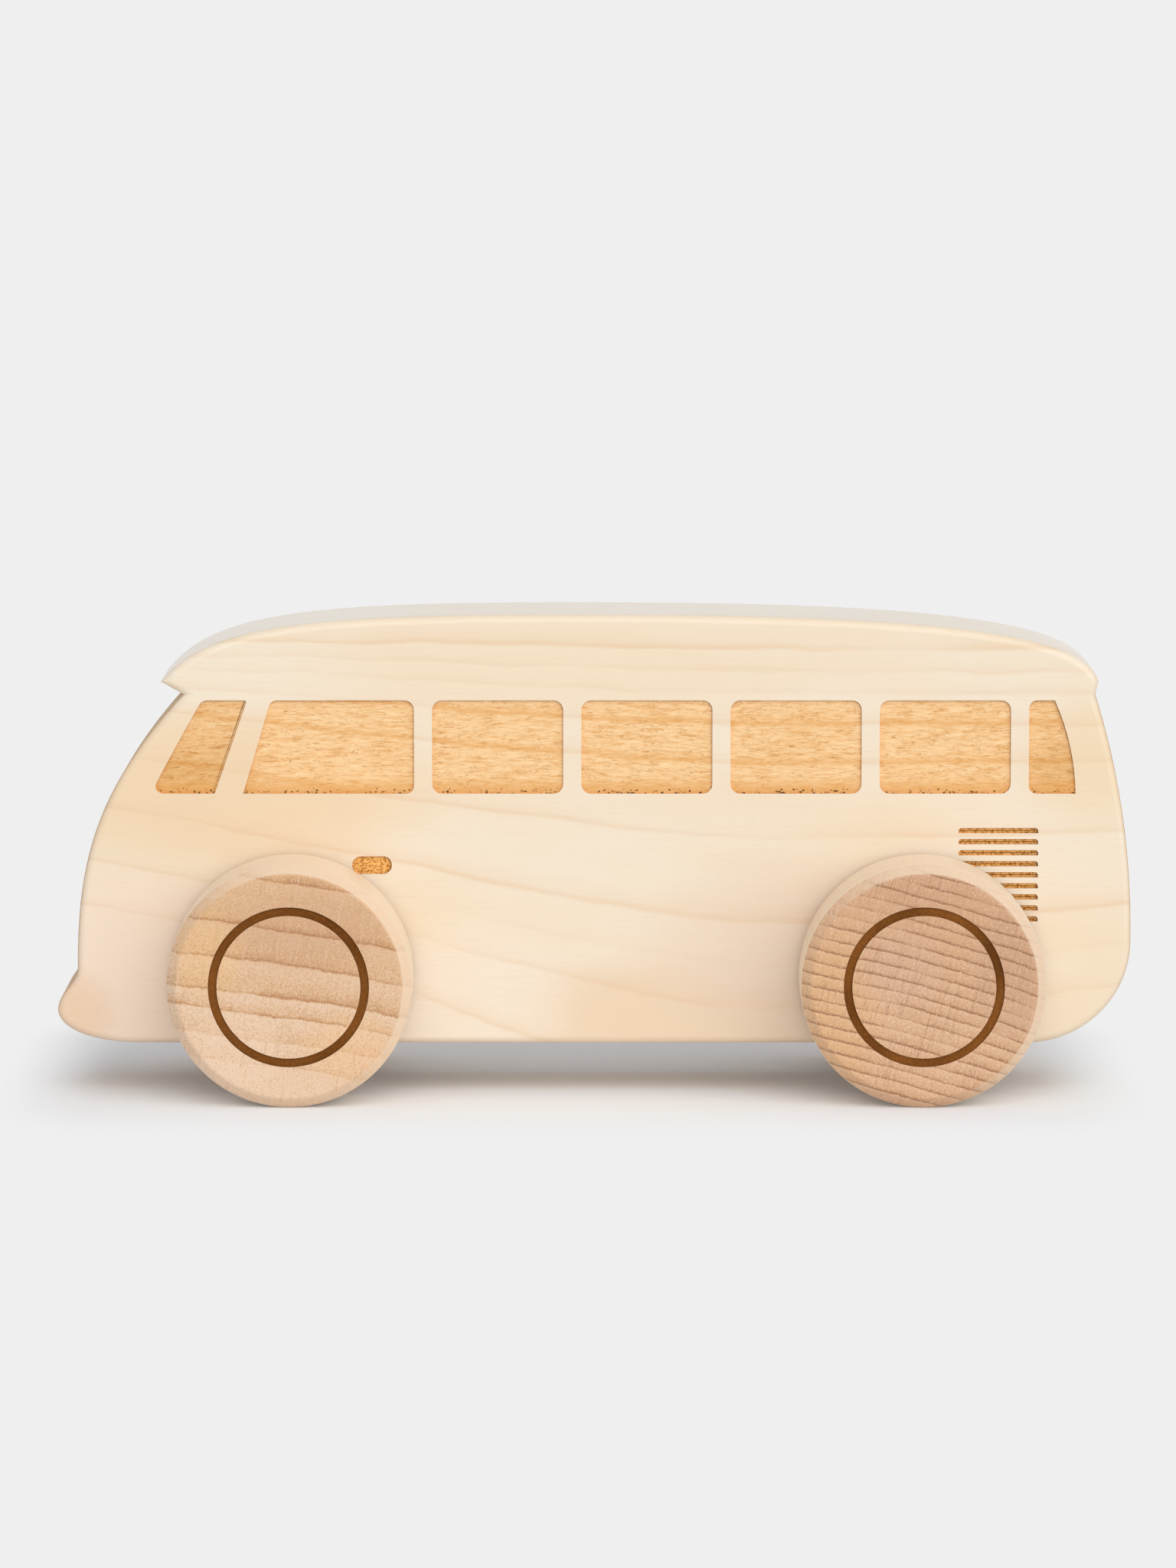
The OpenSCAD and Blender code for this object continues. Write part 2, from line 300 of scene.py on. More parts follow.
@dataclass(frozen=True)
class MapleGrain:
    """Run of the growth lines through the block, which climb from the tail to the nose.

    A line that lies at height h at the tail lies at h + climb * (apex - lean * h) at a point where
    climb, which goes from 0 to 1 towards the nose, is read.
    """

    climb_from: float = 30.0
    climb_to: float = -95.0
    apex: float = 31.1
    lean: float = 0.4
    turn_up: float = 4.0
    cross_slope: float = 0.22
    top: float = 80.0
    lines: tuple[Point, ...] = (
        (2.0, 0.65),
        (14.5, 0.6),
        (21.5, 0.18),
        (28.5, 0.85),
        (42.4, 0.7),
        (55.0, 0.7),
        (61.5, 0.75),
        (66.8, 0.5),
        (70.2, 0.6),
        (73.9, 0.95),
    )

    def level(self, recipe: Recipe, point: Socket) -> Socket:
        """Give the height at which the growth line through a point lies at the tail.

        Args:
            recipe: Finish that is being made.
            point: Point on the block, in millimetres.

        Returns:
            The height in millimetres.
        """
        x, y, z = recipe.parts(point)
        climb = recipe.span(x, self.climb_from, self.climb_to)
        sway = recipe.noise(point, (0.014, 0.03, 0.035), detail=1)
        wobble = recipe.noise(point, (0.09, 0.15, 0.15), detail=2)
        turn = recipe.times(recipe.span(x, 50, 95, 0, self.turn_up), recipe.span(z, 55, 20))
        height = recipe.scaled(climb, -self.apex, z)
        height = recipe.scaled(sway, 3.0, height)
        height = recipe.scaled(wobble, 1.5, height)
        height = recipe.math("SUBTRACT", height, 2.25)
        height = recipe.math("SUBTRACT", height, turn)
        height = recipe.scaled(recipe.math("ADD", y, 13.0), self.cross_slope, height)
        return recipe.math("DIVIDE", height, recipe.scaled(climb, -self.lean, 1.0))

    def marks(self, recipe: Recipe, level: Socket, above: float, below: float) -> Socket:
        """Draw the growth lines, soft towards the roof and crisp below.

        Args:
            recipe: Finish that is being made.
            level: Height of the line through the point.
            above: Width of the soft edge, in millimetres.
            below: Width of the crisp edge, in millimetres.

        Returns:
            Strength of the lines, from 0 to 1.
        """
        stops: list[Point] = []
        for at, strength in self.lines:
            for place, share in ((at - below, 0.0), (at, strength), (at + above, 0.0)):
                stops.append((place / self.top, share))
        return recipe.ramp(recipe.math("DIVIDE", level, self.top), stops)


@dataclass(frozen=True)
class Cloud:
    """Patch of the board where the wood has another tint.

    Attributes:
        middle: Place of the patch along the toy and its height.
        reach: How far it goes along the toy and upwards.
        colour: Colour in its middle.
        strength: Share of that colour there.
    """

    middle: Point
    reach: Point
    colour: Colour
    strength: float

    def over(self, recipe: Recipe, colour: Socket, x: Socket, z: Socket) -> Socket:
        """Lay the patch over a colour.

        Args:
            recipe: Finish that is being made.
            colour: Colour below the patch.
            x: Place along the toy.
            z: Height.

        Returns:
            The tinted colour.
        """
        run = recipe.math("DIVIDE", recipe.math("SUBTRACT", x, self.middle[0]), self.reach[0])
        rise = recipe.math("DIVIDE", recipe.math("SUBTRACT", z, self.middle[1]), self.reach[1])
        away = recipe.scaled(rise, rise, recipe.times(run, run))
        return recipe.mix(recipe.span(away, 1, 0.05, 0, self.strength), colour, self.colour)


@dataclass(frozen=True)
class MapleFinish:
    """Maple of the block, either waxed or bare as the saw left it, with painted light along the
    underside's round-over.

    Attributes:
        name: Name of the finish.
        rough: Lowest and highest roughness.
        shine: Strength of the reflection.
        toned: Lowest and highest share of the end-grain tone where the grain runs out.
        rings: Strength of the growth rings there.
    """

    name: str = "maple"
    rough: Point = (0.16, 0.24)
    shine: float = 0.5
    toned: Point = (0.3, 0.75)
    rings: float = 0.0
    cream: Colour = tint(242, 228, 207)
    straw: Colour = tint(241, 223, 197)
    line: Colour = tint(226, 187, 142)
    fleck: Colour = tint(231, 202, 168)
    end: Colour = tint(232, 203, 170)
    ring: Colour = tint(172, 126, 84)
    # Paler colour painted on the underside's round-over: painted light standing in for light bounced up
    # from the table.
    foot_painted_light: Colour = tint(248, 224, 199)
    clouds: tuple[Cloud, ...] = (
        Cloud((-62, 51), (44, 15), tint(239, 212, 176), 0.85),
        Cloud((-76, 14), (40, 28), tint(245, 223, 203), 0.9),
        Cloud((12, 13), (34, 12), tint(236, 209, 178), 0.8),
        Cloud((32, 24), (30, 18), tint(235, 213, 191), 0.7),
        Cloud((83, 55), (17, 13), tint(239, 216, 182), 0.8),
        Cloud((-22, 15), (22, 16), tint(245, 230, 210), 0.8),
        Cloud((-88, 13), (11, 10), tint(233, 196, 160), 0.6),
    )
    grain: MapleGrain = MapleGrain()

    def material(self) -> bpy.types.Material:
        """Make the material.

        Returns:
            The material.
        """
        recipe = Recipe.named(self.name)
        point = recipe.place()
        x, _, z = recipe.parts(point)
        level = self.grain.level(recipe, point)
        patch = recipe.noise(point, (0.02, 0.05, 0.07), detail=2)
        colour = recipe.mix(recipe.span(patch, 0.35, 0.65), self.cream, self.straw)
        for cloud in self.clouds:
            colour = cloud.over(recipe, colour, x, z)
        # Painted light: the round-over along the underside is lightened towards a paler colour.
        colour = recipe.mix(recipe.span(z, 9.6, 8.4, 0, 0.7), colour, self.foot_painted_light)
        soft = self.grain.marks(recipe, level, 3.4, 0.6)
        crisp = self.grain.marks(recipe, level, 0.9, 0.45)
        fade = recipe.noise(point, (0.025, 0.1, 0.1), (7, 3, 1))
        lines = recipe.scaled(soft, 0.22, recipe.times(crisp, 0.32))
        lines = recipe.times(lines, recipe.span(fade, 0.3, 0.62, 0.35, 1.0))
        colour = recipe.mix(lines, colour, self.line)
        fibre = recipe.noise(point, (0.12, 1.6, 2.6), detail=3, rough=0.6)
        colour = recipe.mix(recipe.span(fibre, 0.45, 0.8, 0, 0.12), colour, self.line)
        fleck = recipe.noise(point, (0.55, 4.0, 5.5), detail=1)
        colour = recipe.mix(recipe.span(fleck, 0.62, 0.76, 0, 0.3), colour, self.fleck)
        normal = recipe.parts(recipe.add("TexCoord").outputs["Normal"])[0]
        across = recipe.span(recipe.math("ABSOLUTE", normal), 0.45, 0.95)
        pores = recipe.noise(point, (0.6, 3.0, 3.0), detail=2)
        toned = recipe.times(across, recipe.span(pores, 0.3, 0.7, *self.toned))
        colour = recipe.mix(toned, colour, self.end)
        rings = recipe.times(recipe.times(lines, across), self.rings)
        colour = recipe.mix(rings, colour, self.ring)
        rough = recipe.span(fibre, 0.3, 0.7, *self.rough)
        return recipe.finish(colour, rough, fibre, 0.0025, self.shine)


@dataclass(frozen=True)
class EngravedFinish:
    """Laser-burnt maple of the windows, the door handle and the vents, with painted shade along their rear
    and top edges.

    Attributes:
        sill: Height of the lower edge of the windows.
        cab: Place along the toy where the front window ends.
        tail: Where the darker tail window starts, and where it is darkest.
    """

    pale: Colour = tint(252, 219, 172)
    tan: Colour = tint(246, 205, 153)
    brown: Colour = tint(238, 190, 133)
    dark: Colour = tint(222, 166, 102)
    deep: Colour = tint(238, 226, 205)
    fissure: Colour = tint(206, 146, 80)
    band: Colour = tint(229, 168, 96)
    blotch: Colour = tint(182, 114, 48)
    orange: Colour = tint(246, 190, 114)
    # Dark brown of the rim line: burn at every edge, and painted shade at the rear and top edges.
    edge: Colour = tint(150, 92, 36)
    char: Colour = tint(98, 54, 16)
    sill: float = 49.8
    cab: float = -57.0
    tail: Point = (68.0, 76.0)
    grain: MapleGrain = MapleGrain()

    def material(self) -> bpy.types.Material:
        """Make the material.

        Returns:
            The material.
        """
        recipe = Recipe.named("engraved_maple")
        point = recipe.place()
        x, _, z = recipe.parts(point)
        level = self.grain.level(recipe, point)
        streak = recipe.noise(point, (0.28, 1.0, 1.7), detail=3, rough=0.6, bend=0.3)
        thread = recipe.noise(point, (0.42, 2.0, 3.6), (4, 0, 9), detail=4, rough=0.65, bend=0.8)
        burn = recipe.scaled(thread, 0.7, recipe.times(streak, 0.3))
        colour = recipe.ramp(
            burn, [(0.33, self.dark), (0.42, self.brown), (0.5, self.tan), (0.63, self.pale)]
        )
        split = recipe.noise(point, (0.5, 2.0, 3.4), (1, 5, 2), detail=2, bend=0.8)
        split = recipe.math("ABSOLUTE", recipe.math("SUBTRACT", split, 0.5))
        broken = recipe.span(recipe.noise(point, (0.5, 1.0, 1.4), (8, 2, 3), detail=2), 0.42, 0.62)
        split = recipe.times(recipe.span(split, 0.035, 0.006), broken)
        colour = recipe.mix(recipe.times(split, 0.9), colour, self.fissure)
        bands = self.grain.marks(recipe, level, 1.3, 0.6)
        waves = recipe.span(thread, 0.35, 0.65, 1.0, 0.6)
        colour = recipe.mix(recipe.times(bands, waves), colour, self.band)
        front = recipe.span(x, self.cab + 4, self.cab - 4)
        ends = recipe.math("MAXIMUM", front, recipe.span(x, *self.tail, 0, 0.9))
        shade = recipe.times(ends, recipe.span(z, self.sill + 11.2, self.sill + 3.2, 0.35, 1.0))
        colour = recipe.mix(shade, colour, self.deep, "MULTIPLY")
        ragged = recipe.noise(point, (1.9, 1.9, 2.4), detail=4, rough=0.65)
        scorch = recipe.attribute("scorch")
        mottle = recipe.mix(recipe.span(ragged, 0.39, 0.54), self.blotch, self.orange)
        colour = recipe.mix(scorch, colour, mottle)
        # Rim line: burnt edges, darker at the rear and top edges as painted shade.
        rim = recipe.attribute("rim")
        line = recipe.span(recipe.scaled(ragged, 0.5, rim), 0.62, 1.0)
        colour = recipe.mix(recipe.times(line, 0.75), colour, self.edge)
        above = recipe.span(z, self.sill - 3, self.sill - 1)
        warm = recipe.times(recipe.span(z, self.sill + 3.2, self.sill + 0.2, 0, 0.7), above)
        colour = recipe.mix(warm, colour, self.band)
        soot = recipe.times(recipe.span(z, self.sill + 1.4, self.sill + 0.1), above)
        # The soot specks also carry painted shade along the rear edges.
        soot = recipe.math("MAXIMUM", recipe.attribute("soot"), soot)
        dots = recipe.dots(point, (1.5, 1.5, 2.1))
        reach = recipe.times(soot, recipe.span(ragged, 0.42, 0.6, 0.08, 0.55))
        specks = recipe.span(recipe.math("SUBTRACT", dots, reach), 0.05, -0.07)
        colour = recipe.mix(recipe.times(specks, 0.9), colour, self.char)
        rough = recipe.span(burn, 0.3, 0.7, 0.85, 0.65)
        return recipe.finish(colour, rough, burn, 0.05, 0.0)


@dataclass(frozen=True)
class EndGrainFinish:
    """End grain of a turned wheel: growth bands across its face, pores and fine rays, with painted light
    on its eased rim and tread.

    Attributes:
        name: Name of the finish.
        middle: Place of the wheel along the toy and its height.
        tilt: Fall of the bands towards the tail, in degrees.
        arch: Radius of the growth rings.
        lines: Height above the middle and strength of each late-wood line, or none for even bands.
        spacing: Spacing of even bands.
        rays: Strength of the rays.
        cracks: Strength of the thin cracks along the rays.
        sway: How far the bands wander, in millimetres.
        seed: Number that sets the chance patterns apart.
        patches: Tinted patches, placed from the middle of the wheel.
    """

    name: str
    middle: Point
    tilt: float
    arch: float
    lines: tuple[Point, ...] = ()
    spacing: float = 2.6
    rays: float = 0.2
    cracks: float = 0.0
    sway: float = 1.8
    seed: float = 0.0
    pale: Colour = tint(230, 200, 172)
    tan: Colour = tint(223, 188, 155)
    brown: Colour = tint(210, 166, 122)
    line: Colour = tint(174, 122, 80)
    shade: Colour = tint(211, 163, 112)
    pore: Colour = tint(186, 138, 96)
    fleck: Colour = tint(246, 222, 192)
    # Paler colour of the eased rim: partly a paler turned edge, mostly a painted highlight that is
    # strongest at the upper right, where the lamp falls.
    rim: Colour = tint(243, 219, 192)
    # Paler colour of the tread: partly its paler long grain, partly painted light where it faces the sky.
    painted_lit_tread: Colour = tint(250, 232, 208)
    patches: tuple[Cloud, ...] = ()

    def late_wood(self, recipe: Recipe, height: Socket) -> Socket:
        """Draw the bands, which darken downwards to a line and then start pale again.

        Args:
            recipe: Finish that is being made.
            height: Height across the bands, in millimetres.

        Returns:
            Share of late wood, from 0 to 1.
        """
        if not self.lines:
            phase = recipe.math("FRACT", recipe.math("DIVIDE", height, self.spacing))
            line_end = [(0.0, 1.0), (0.07, 0.85), (0.22, 0.58)]
            line_start = [(0.6, 0.34), (0.88, 0.12), (0.96, 0.2), (1.0, 1.0)]
            return recipe.ramp(phase, line_end + line_start)
        edge = 22.0
        stops: list[Point] = []
        for (low, strength), (high, _) in zip(self.lines, (*self.lines[1:], (21.0, 0.0))):
            fade = low + 0.45 * (high - low)
            for at, share in ((low - 0.25, 0), (low, 1), (low + 0.35, 0.72), (fade, 0.4)):
                stops.append(((at + edge) / (2 * edge), share * strength))
        return recipe.ramp(recipe.math("DIVIDE", recipe.math("ADD", height, edge), 2 * edge), stops)

    def material(self) -> bpy.types.Material:
        """Make the material.

        Returns:
            The material.
        """
        recipe = Recipe.named(self.name)
        shift = (-self.middle[0], self.seed * 40, -self.middle[1])
        point = recipe.stretch(recipe.place(), (1, 1, 1), shift)
        x, y, z = recipe.parts(point)
        turn = math.radians(self.tilt)
        rise, run = math.sin(turn), math.cos(turn)
        up = recipe.scaled(x, rise, recipe.times(z, run))
        along = recipe.scaled(z, -rise, recipe.times(x, run))
        grid = recipe.join(along, y, up)
        sway = recipe.noise(grid, (0.06, 0.01, 0.06), detail=1)
        wave = recipe.noise(grid, (0.3, 0.02, 0.2), detail=2)
        kink = recipe.noise(grid, (0.9, 0.04, 0.5), detail=1)
        fray = recipe.noise(grid, (2.4, 0.1, 1.6), detail=3, rough=0.65)
        height = recipe.scaled(recipe.times(along, along), 0.5 / self.arch, up)
        for drift, reach in ((sway, 1.0), (wave, 0.35), (kink, 0.25)):
            height = recipe.scaled(drift, reach * self.sway, height)
        height = recipe.scaled(fray, 0.4, height)
        height = recipe.math("SUBTRACT", height, 0.8 * self.sway + 0.2)
        faded = recipe.noise(grid, (0.1, 0.01, 0.3), (2, 4, 6), detail=1)
        faded = recipe.span(faded, 0.3, 0.6, 0.68, 1.05)
        late = recipe.times(self.late_wood(recipe, height), faded)
        speck = recipe.noise(grid, (2.6, 0.12, 2.6), detail=3, rough=0.7)
        share = recipe.scaled(recipe.math("SUBTRACT", speck, 0.5), 2.1, late)
        colour = recipe.ramp(share, [(-0.1, self.pale), (0.25, self.tan), (0.75, self.brown)])
        colour = recipe.mix(recipe.span(up, -6, 14, 0, 0.6), colour, self.shade)
        for patch in self.patches:
            colour = patch.over(recipe, colour, x, z)
        edge = recipe.scaled(recipe.math("SUBTRACT", speck, 0.5), 0.5, late)
        colour = recipe.mix(recipe.span(edge, 0.52, 0.98, 0, 0.85), colour, self.line)
        pore = recipe.dots(grid, (1.7, 0.06, 1.7))
        pore = recipe.times(recipe.span(pore, 0.28, 0.12), recipe.span(late, 0.1, 0.6, 0.45, 0.9))
        colour = recipe.mix(pore, colour, self.pore)
        fleck = recipe.dots(grid, (2.6, 0.08, 2.0), (4, 7, 1))
        colour = recipe.mix(recipe.span(fleck, 0.3, 0.12, 0, 0.5), colour, self.fleck)
        ray = recipe.noise(grid, (2.4, 0.05, 0.18), detail=2)
        colour = recipe.mix(recipe.span(ray, 0.6, 0.72, 0, self.rays), colour, self.pore)
        colour = recipe.mix(recipe.span(ray, 0.4, 0.28, 0, self.rays), colour, self.pale)
        crack = recipe.noise(grid, (1.7, 0.03, 0.05), (3, 1, 2), detail=1)
        gap = recipe.span(recipe.math("ABSOLUTE", recipe.math("SUBTRACT", crack, 0.5)), 0.022, 0.004)
        where = recipe.span(recipe.noise(grid, (0.11, 0.01, 0.11), (5, 2, 8), detail=1), 0.45, 0.62)
        colour = recipe.mix(recipe.times(recipe.times(gap, where), self.cracks), colour, self.line)
        facing = recipe.math("ABSOLUTE", recipe.parts(recipe.add("TexCoord").outputs["Normal"])[1])
        # Painted highlight: the eased rim is a little paler all round, and much paler towards the upper
        # right, where the lamp falls.
        toward_lamp = recipe.scaled(z, 0.6, recipe.times(x, 0.8))
        pale_edge_and_highlight = recipe.times(recipe.span(facing, 0.97, 0.7), recipe.span(toward_lamp, -9, 11, 0.12, 0.7))
        colour = recipe.mix(pale_edge_and_highlight, colour, self.rim)
        # The tread is painted paler: partly its long grain, partly painted light.
        colour = recipe.mix(recipe.span(facing, 0.6, 0.2, 0, 0.8), colour, self.painted_lit_tread)
        rough = recipe.span(speck, 0.3, 0.7, 0.38, 0.5)
        relief = recipe.scaled(late, -0.35, speck)
        return recipe.finish(colour, rough, relief, 0.03)


@dataclass(frozen=True)
class BurntRingFinish:
    """Burnt wood of the ring line on a wheel."""

    pale: Colour = tint(146, 90, 42)
    brown: Colour = tint(122, 75, 34)
    dark: Colour = tint(103, 61, 27)

    def material(self) -> bpy.types.Material:
        """Make the material.

        Returns:
            The material.
        """
        recipe = Recipe.named("burnt_ring")
        point = recipe.place()
        cloud = recipe.noise(point, (0.09, 0.09, 0.09), detail=2)
        speck = recipe.noise(point, (2.4, 2.4, 2.4), detail=2)
        share = recipe.scaled(cloud, 0.7, recipe.times(speck, 0.3))
        colour = recipe.ramp(share, [(0.35, self.dark), (0.5, self.brown), (0.66, self.pale)])
        return recipe.finish(colour, recipe.span(speck, 0.3, 0.7, 0.9, 0.8), speck, 0.04, 0.0)


@dataclass(frozen=True)
class DowelFinish:
    """Bare beech dowel with its grain along the axle."""

    pale: Colour = tint(233, 203, 168)
    brown: Colour = tint(208, 164, 120)

    def material(self) -> bpy.types.Material:
        """Make the material.

        Returns:
            The material.
        """
        recipe = Recipe.named("beech_dowel")
        point = recipe.place()
        streak = recipe.noise(point, (0.9, 0.05, 0.9), detail=3)
        fleck = recipe.noise(point, (3.0, 0.5, 3.0), detail=2)
        share = recipe.scaled(streak, 0.65, recipe.times(fleck, 0.35))
        colour = recipe.ramp(share, [(0.36, self.brown), (0.62, self.pale)])
        return recipe.finish(colour, recipe.span(fleck, 0.3, 0.7, 0.55, 0.7), fleck, 0.03)


class Bench:
    """Modelling bench: the operators that shape a mesh by hand."""

    @staticmethod
    def clear() -> None:
        """Leave edit mode and let go of everything."""
        if bpy.context.mode != "OBJECT":
            bpy.ops.object.mode_set(mode="OBJECT")
        bpy.ops.object.select_all(action="DESELECT")

    @staticmethod
    def hold(obj: bpy.types.Object) -> None:
        """Select one piece alone.

        Args:
            obj: The piece.
        """
        Bench.clear()
        obj.select_set(True)
        bpy.context.view_layer.objects.active = obj

    @staticmethod
    @contextmanager
    def editing(obj: bpy.types.Object, mode: str = "FACE") -> Iterator[None]:
        """Work on a piece in edit mode, with nothing selected at first.

        Args:
            obj: The piece.
            mode: What is selected: VERT, EDGE or FACE.

        Yields:
            Nothing.
        """
        Bench.hold(obj)
        bpy.ops.object.mode_set(mode="EDIT")
        bpy.ops.mesh.select_mode(type=mode)
        bpy.ops.mesh.select_all(action="DESELECT")
        yield
        bpy.ops.object.mode_set(mode="OBJECT")

    @staticmethod
    def pick(obj: bpy.types.Object, kind: str, test: Callable[[Any], bool]) -> None:
        """Select the vertices, edges or faces that pass a test, and no others.

        Args:
            obj: The piece, in edit mode.
            kind: verts, edges or faces.
            test: Says whether one of them is selected.
        """
        mode = {"verts": "VERT", "edges": "EDGE", "faces": "FACE"}[kind]
        bpy.ops.mesh.select_mode(type=mode)
        bpy.ops.mesh.select_all(action="DESELECT")
        mesh = bmesh.from_edit_mesh(obj.data)
        mesh.normal_update()
        found = [part for part in getattr(mesh, kind) if test(part)]
        for part in found:
            part.select_set(True)
        mesh.select_flush_mode()
        bmesh.update_edit_mesh(obj.data)

    @staticmethod
    def ease(size: float, steps: int) -> None:
        """Bevel the selected edges by a size in millimetres, in a number of steps."""
        bpy.ops.mesh.bevel(offset=size * MM, segments=steps, affect="EDGES", clamp_overlap=False)

    @staticmethod
    def extrude(depth: float) -> None:
        """Extrude the selected faces across the toy by a depth in millimetres."""
        bpy.ops.mesh.extrude_region_move(TRANSFORM_OT_translate={"value": (0, depth * MM, 0)})

    @staticmethod
    def outwards() -> None:
        """Turn all faces of the piece in edit mode outwards."""
        bpy.ops.mesh.select_all(action="SELECT")
        bpy.ops.mesh.normals_make_consistent(inside=False)

    @staticmethod
    def apply(obj: bpy.types.Object, kind: str, **settings: Any) -> None:
        """Add a modifier and apply it.

        Args:
            obj: The piece.
            kind: Type of the modifier.
            **settings: Values for its fields.
        """
        modifier = obj.modifiers.new(kind.lower(), kind)
        for key, value in settings.items():
            setattr(modifier, key, value)
        Bench.hold(obj)
        bpy.ops.object.modifier_apply(modifier=modifier.name)

    @staticmethod
    def smooth(obj: bpy.types.Object, angle: float = 32.0) -> None:
        """Shade a piece smooth, with its flat faces kept flat.

        Args:
            obj: The piece.
            angle: Largest angle in degrees that is smoothed over.
        """
        Bench.hold(obj)
        bpy.ops.object.shade_smooth_by_angle(angle=math.radians(angle))
        Bench.apply(obj, "WEIGHTED_NORMAL", mode="FACE_AREA", weight=50, keep_sharp=True)

    @staticmethod
    def settle(obj: bpy.types.Object, name: str) -> bpy.types.Object:
        """Put a piece's place into its mesh and name it.

        Args:
            obj: The piece.
            name: Its name.

        Returns:
            The piece.
        """
        Bench.hold(obj)
        bpy.ops.object.transform_apply(location=True, rotation=True, scale=True)
        obj.name = name
        obj.data.name = name
        return obj

    @staticmethod
    def cylinder(
        name: str, radius: float, length: float, middle: Sequence[float], faces: int
    ) -> bpy.types.Object:
        """Add a cylinder that lies across the toy.

        Args:
            name: Its name.
            radius: Its radius.
            length: Its length.
            middle: Its middle.
            faces: Number of faces round it.

        Returns:
            The cylinder.
        """
        Bench.clear()
        bpy.ops.mesh.primitive_cylinder_add(
            vertices=faces,
            radius=radius * MM,
            depth=length * MM,
            location=[place * MM for place in middle],
            rotation=(math.pi / 2, 0, 0),
        )
        return Bench.settle(bpy.context.object, name)

    @staticmethod
    def join(pieces: Sequence[bpy.types.Object]) -> bpy.types.Object:
        """Join pieces into the first of them.

        Args:
            pieces: The pieces.

        Returns:
            The joined piece.
        """
        Bench.hold(pieces[0])
        for piece in pieces:
            piece.select_set(True)
        bpy.ops.object.join()
        return bpy.context.object


def mount(piece: bpy.types.Object, node: str, body: str) -> None:
    """Let a piece stand for a solid of the frame, and report it.

    Args:
        piece: The finished piece.
        node: The solid that it stands for.
        body: The body that carries it.
    """
    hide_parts(node)
    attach(piece, body)
    log.info("%s: %d faces, on %s", piece.name, len(piece.data.polygons), body)


def quad(
    lower: Point, upper: Point, bottom: float, top: float
) -> tuple[Point, Point, Point, Point]:
    """Give the corners of a shape with a level lower and upper edge.

    Args:
        lower: Front and rear end of the lower edge.
        upper: Front and rear end of the upper edge.
        bottom: Height of the lower edge.
        top: Height of the upper edge.

    Returns:
        Lower front, lower rear, upper front and upper rear corner.
    """
    return (lower[0], bottom), (lower[1], bottom), (upper[0], top), (upper[1], top)


@dataclass(frozen=True)
class Engraving:
    """One engraved shape in a side of the block.

    Attributes:
        corners: Lower front, lower rear, upper front and upper rear corner.
        radii: Radius of each of those corners, or zero.
        front_bow: Outward bow of the front edge.
        rear_bow: Outward bow of the rear edge.
        repeats: How often it is cut.
        step: Distance from one cut to the next.
    """

    corners: tuple[Point, Point, Point, Point]
    radii: tuple[float, float, float, float]
    front_bow: float = 0.0
    rear_bow: float = 0.0
    repeats: int = 1
    step: Point = (0.0, 0.0)

    def bow_edge(self, cutter: bpy.types.Object, ends: tuple[int, int], bow: float, out: float) -> None:
        """Bow one upright edge of the cutter.

        Args:
            cutter: The flat cutter, in edit mode.
            ends: Corners at the two ends of the edge.
            bow: Height of the bow.
            out: Direction of the bow along the toy, -1 or 1.
        """
        low, high = (Vector((self.corners[i][0], self.corners[i][1])) for i in ends)
        run = high - low
        normal = Vector((run.y, -run.x)).normalized()
        normal *= out if normal.x > 0 else -out

        def on_edge(part: bmesh.types.BMEdge) -> bool:
            """Say whether an edge joins the two corners."""
            found = sorted((round(v.co.x / MM, 3), round(v.co.z / MM, 3)) for v in part.verts)
            return found == sorted((round(p.x, 3), round(p.y, 3)) for p in (low, high))

        Bench.pick(cutter, "edges", on_edge)
        bpy.ops.mesh.subdivide(number_cuts=7)
        mesh = bmesh.from_edit_mesh(cutter.data)
        for vertex in mesh.verts:
            spot = Vector((vertex.co.x, vertex.co.z)) / MM - low
            share = spot.dot(run) / run.length_squared
            if abs(spot.x * run.y - spot.y * run.x) / run.length < 1e-3 and 0.01 < share < 0.99:
                push = normal * (4 * bow * share * (1 - share)) * MM
                vertex.co += Vector((push.x, 0, push.y))
        bmesh.update_edit_mesh(cutter.data)

    def cutter(self, depth: float, face: float, overrun: float) -> bpy.types.Object:
        """Model the cutter for the left side.

        Args:
            depth: Depth of the cut.
            face: Place of the side face across the toy.
            overrun: How far the cutter stands out of that face.

        Returns:
            The cutter.
        """
        Bench.clear()
        bpy.ops.mesh.primitive_plane_add(size=MM, location=(0, 0, 0))
        obj = bpy.context.object
        for vertex, (x, z) in zip(obj.data.vertices, self.corners):
            vertex.co = (x * MM, (face - overrun) * MM, z * MM)
        with Bench.editing(obj, "VERT"):
            if self.front_bow:
                self.bow_edge(obj, (0, 2), self.front_bow, -1)
            if self.rear_bow:
                self.bow_edge(obj, (1, 3), self.rear_bow, 1)
            for index, ((x, z), radius) in enumerate(zip(self.corners, self.radii)):
                if radius <= 0:
                    continue
                spot = Vector((x, z))
                Bench.pick(
                    obj, "verts", lambda v, p=spot: (Vector((v.co.x, v.co.z)) / MM - p).length < 1e-3
                )
                level, upright = self.corners[index ^ 1], self.corners[index ^ 2]
                first = (Vector(level) - spot).normalized()
                second = (Vector(upright) - spot).normalized()
                half = math.acos(max(-1.0, min(1.0, first.dot(second)))) / 2
                bpy.ops.mesh.bevel(
                    offset=radius / math.tan(half) * MM, segments=8, profile=0.5, affect="VERTICES"
                )
            bpy.ops.mesh.select_all(action="SELECT")
            Bench.extrude(depth + overrun)
            Bench.outwards()
        return obj


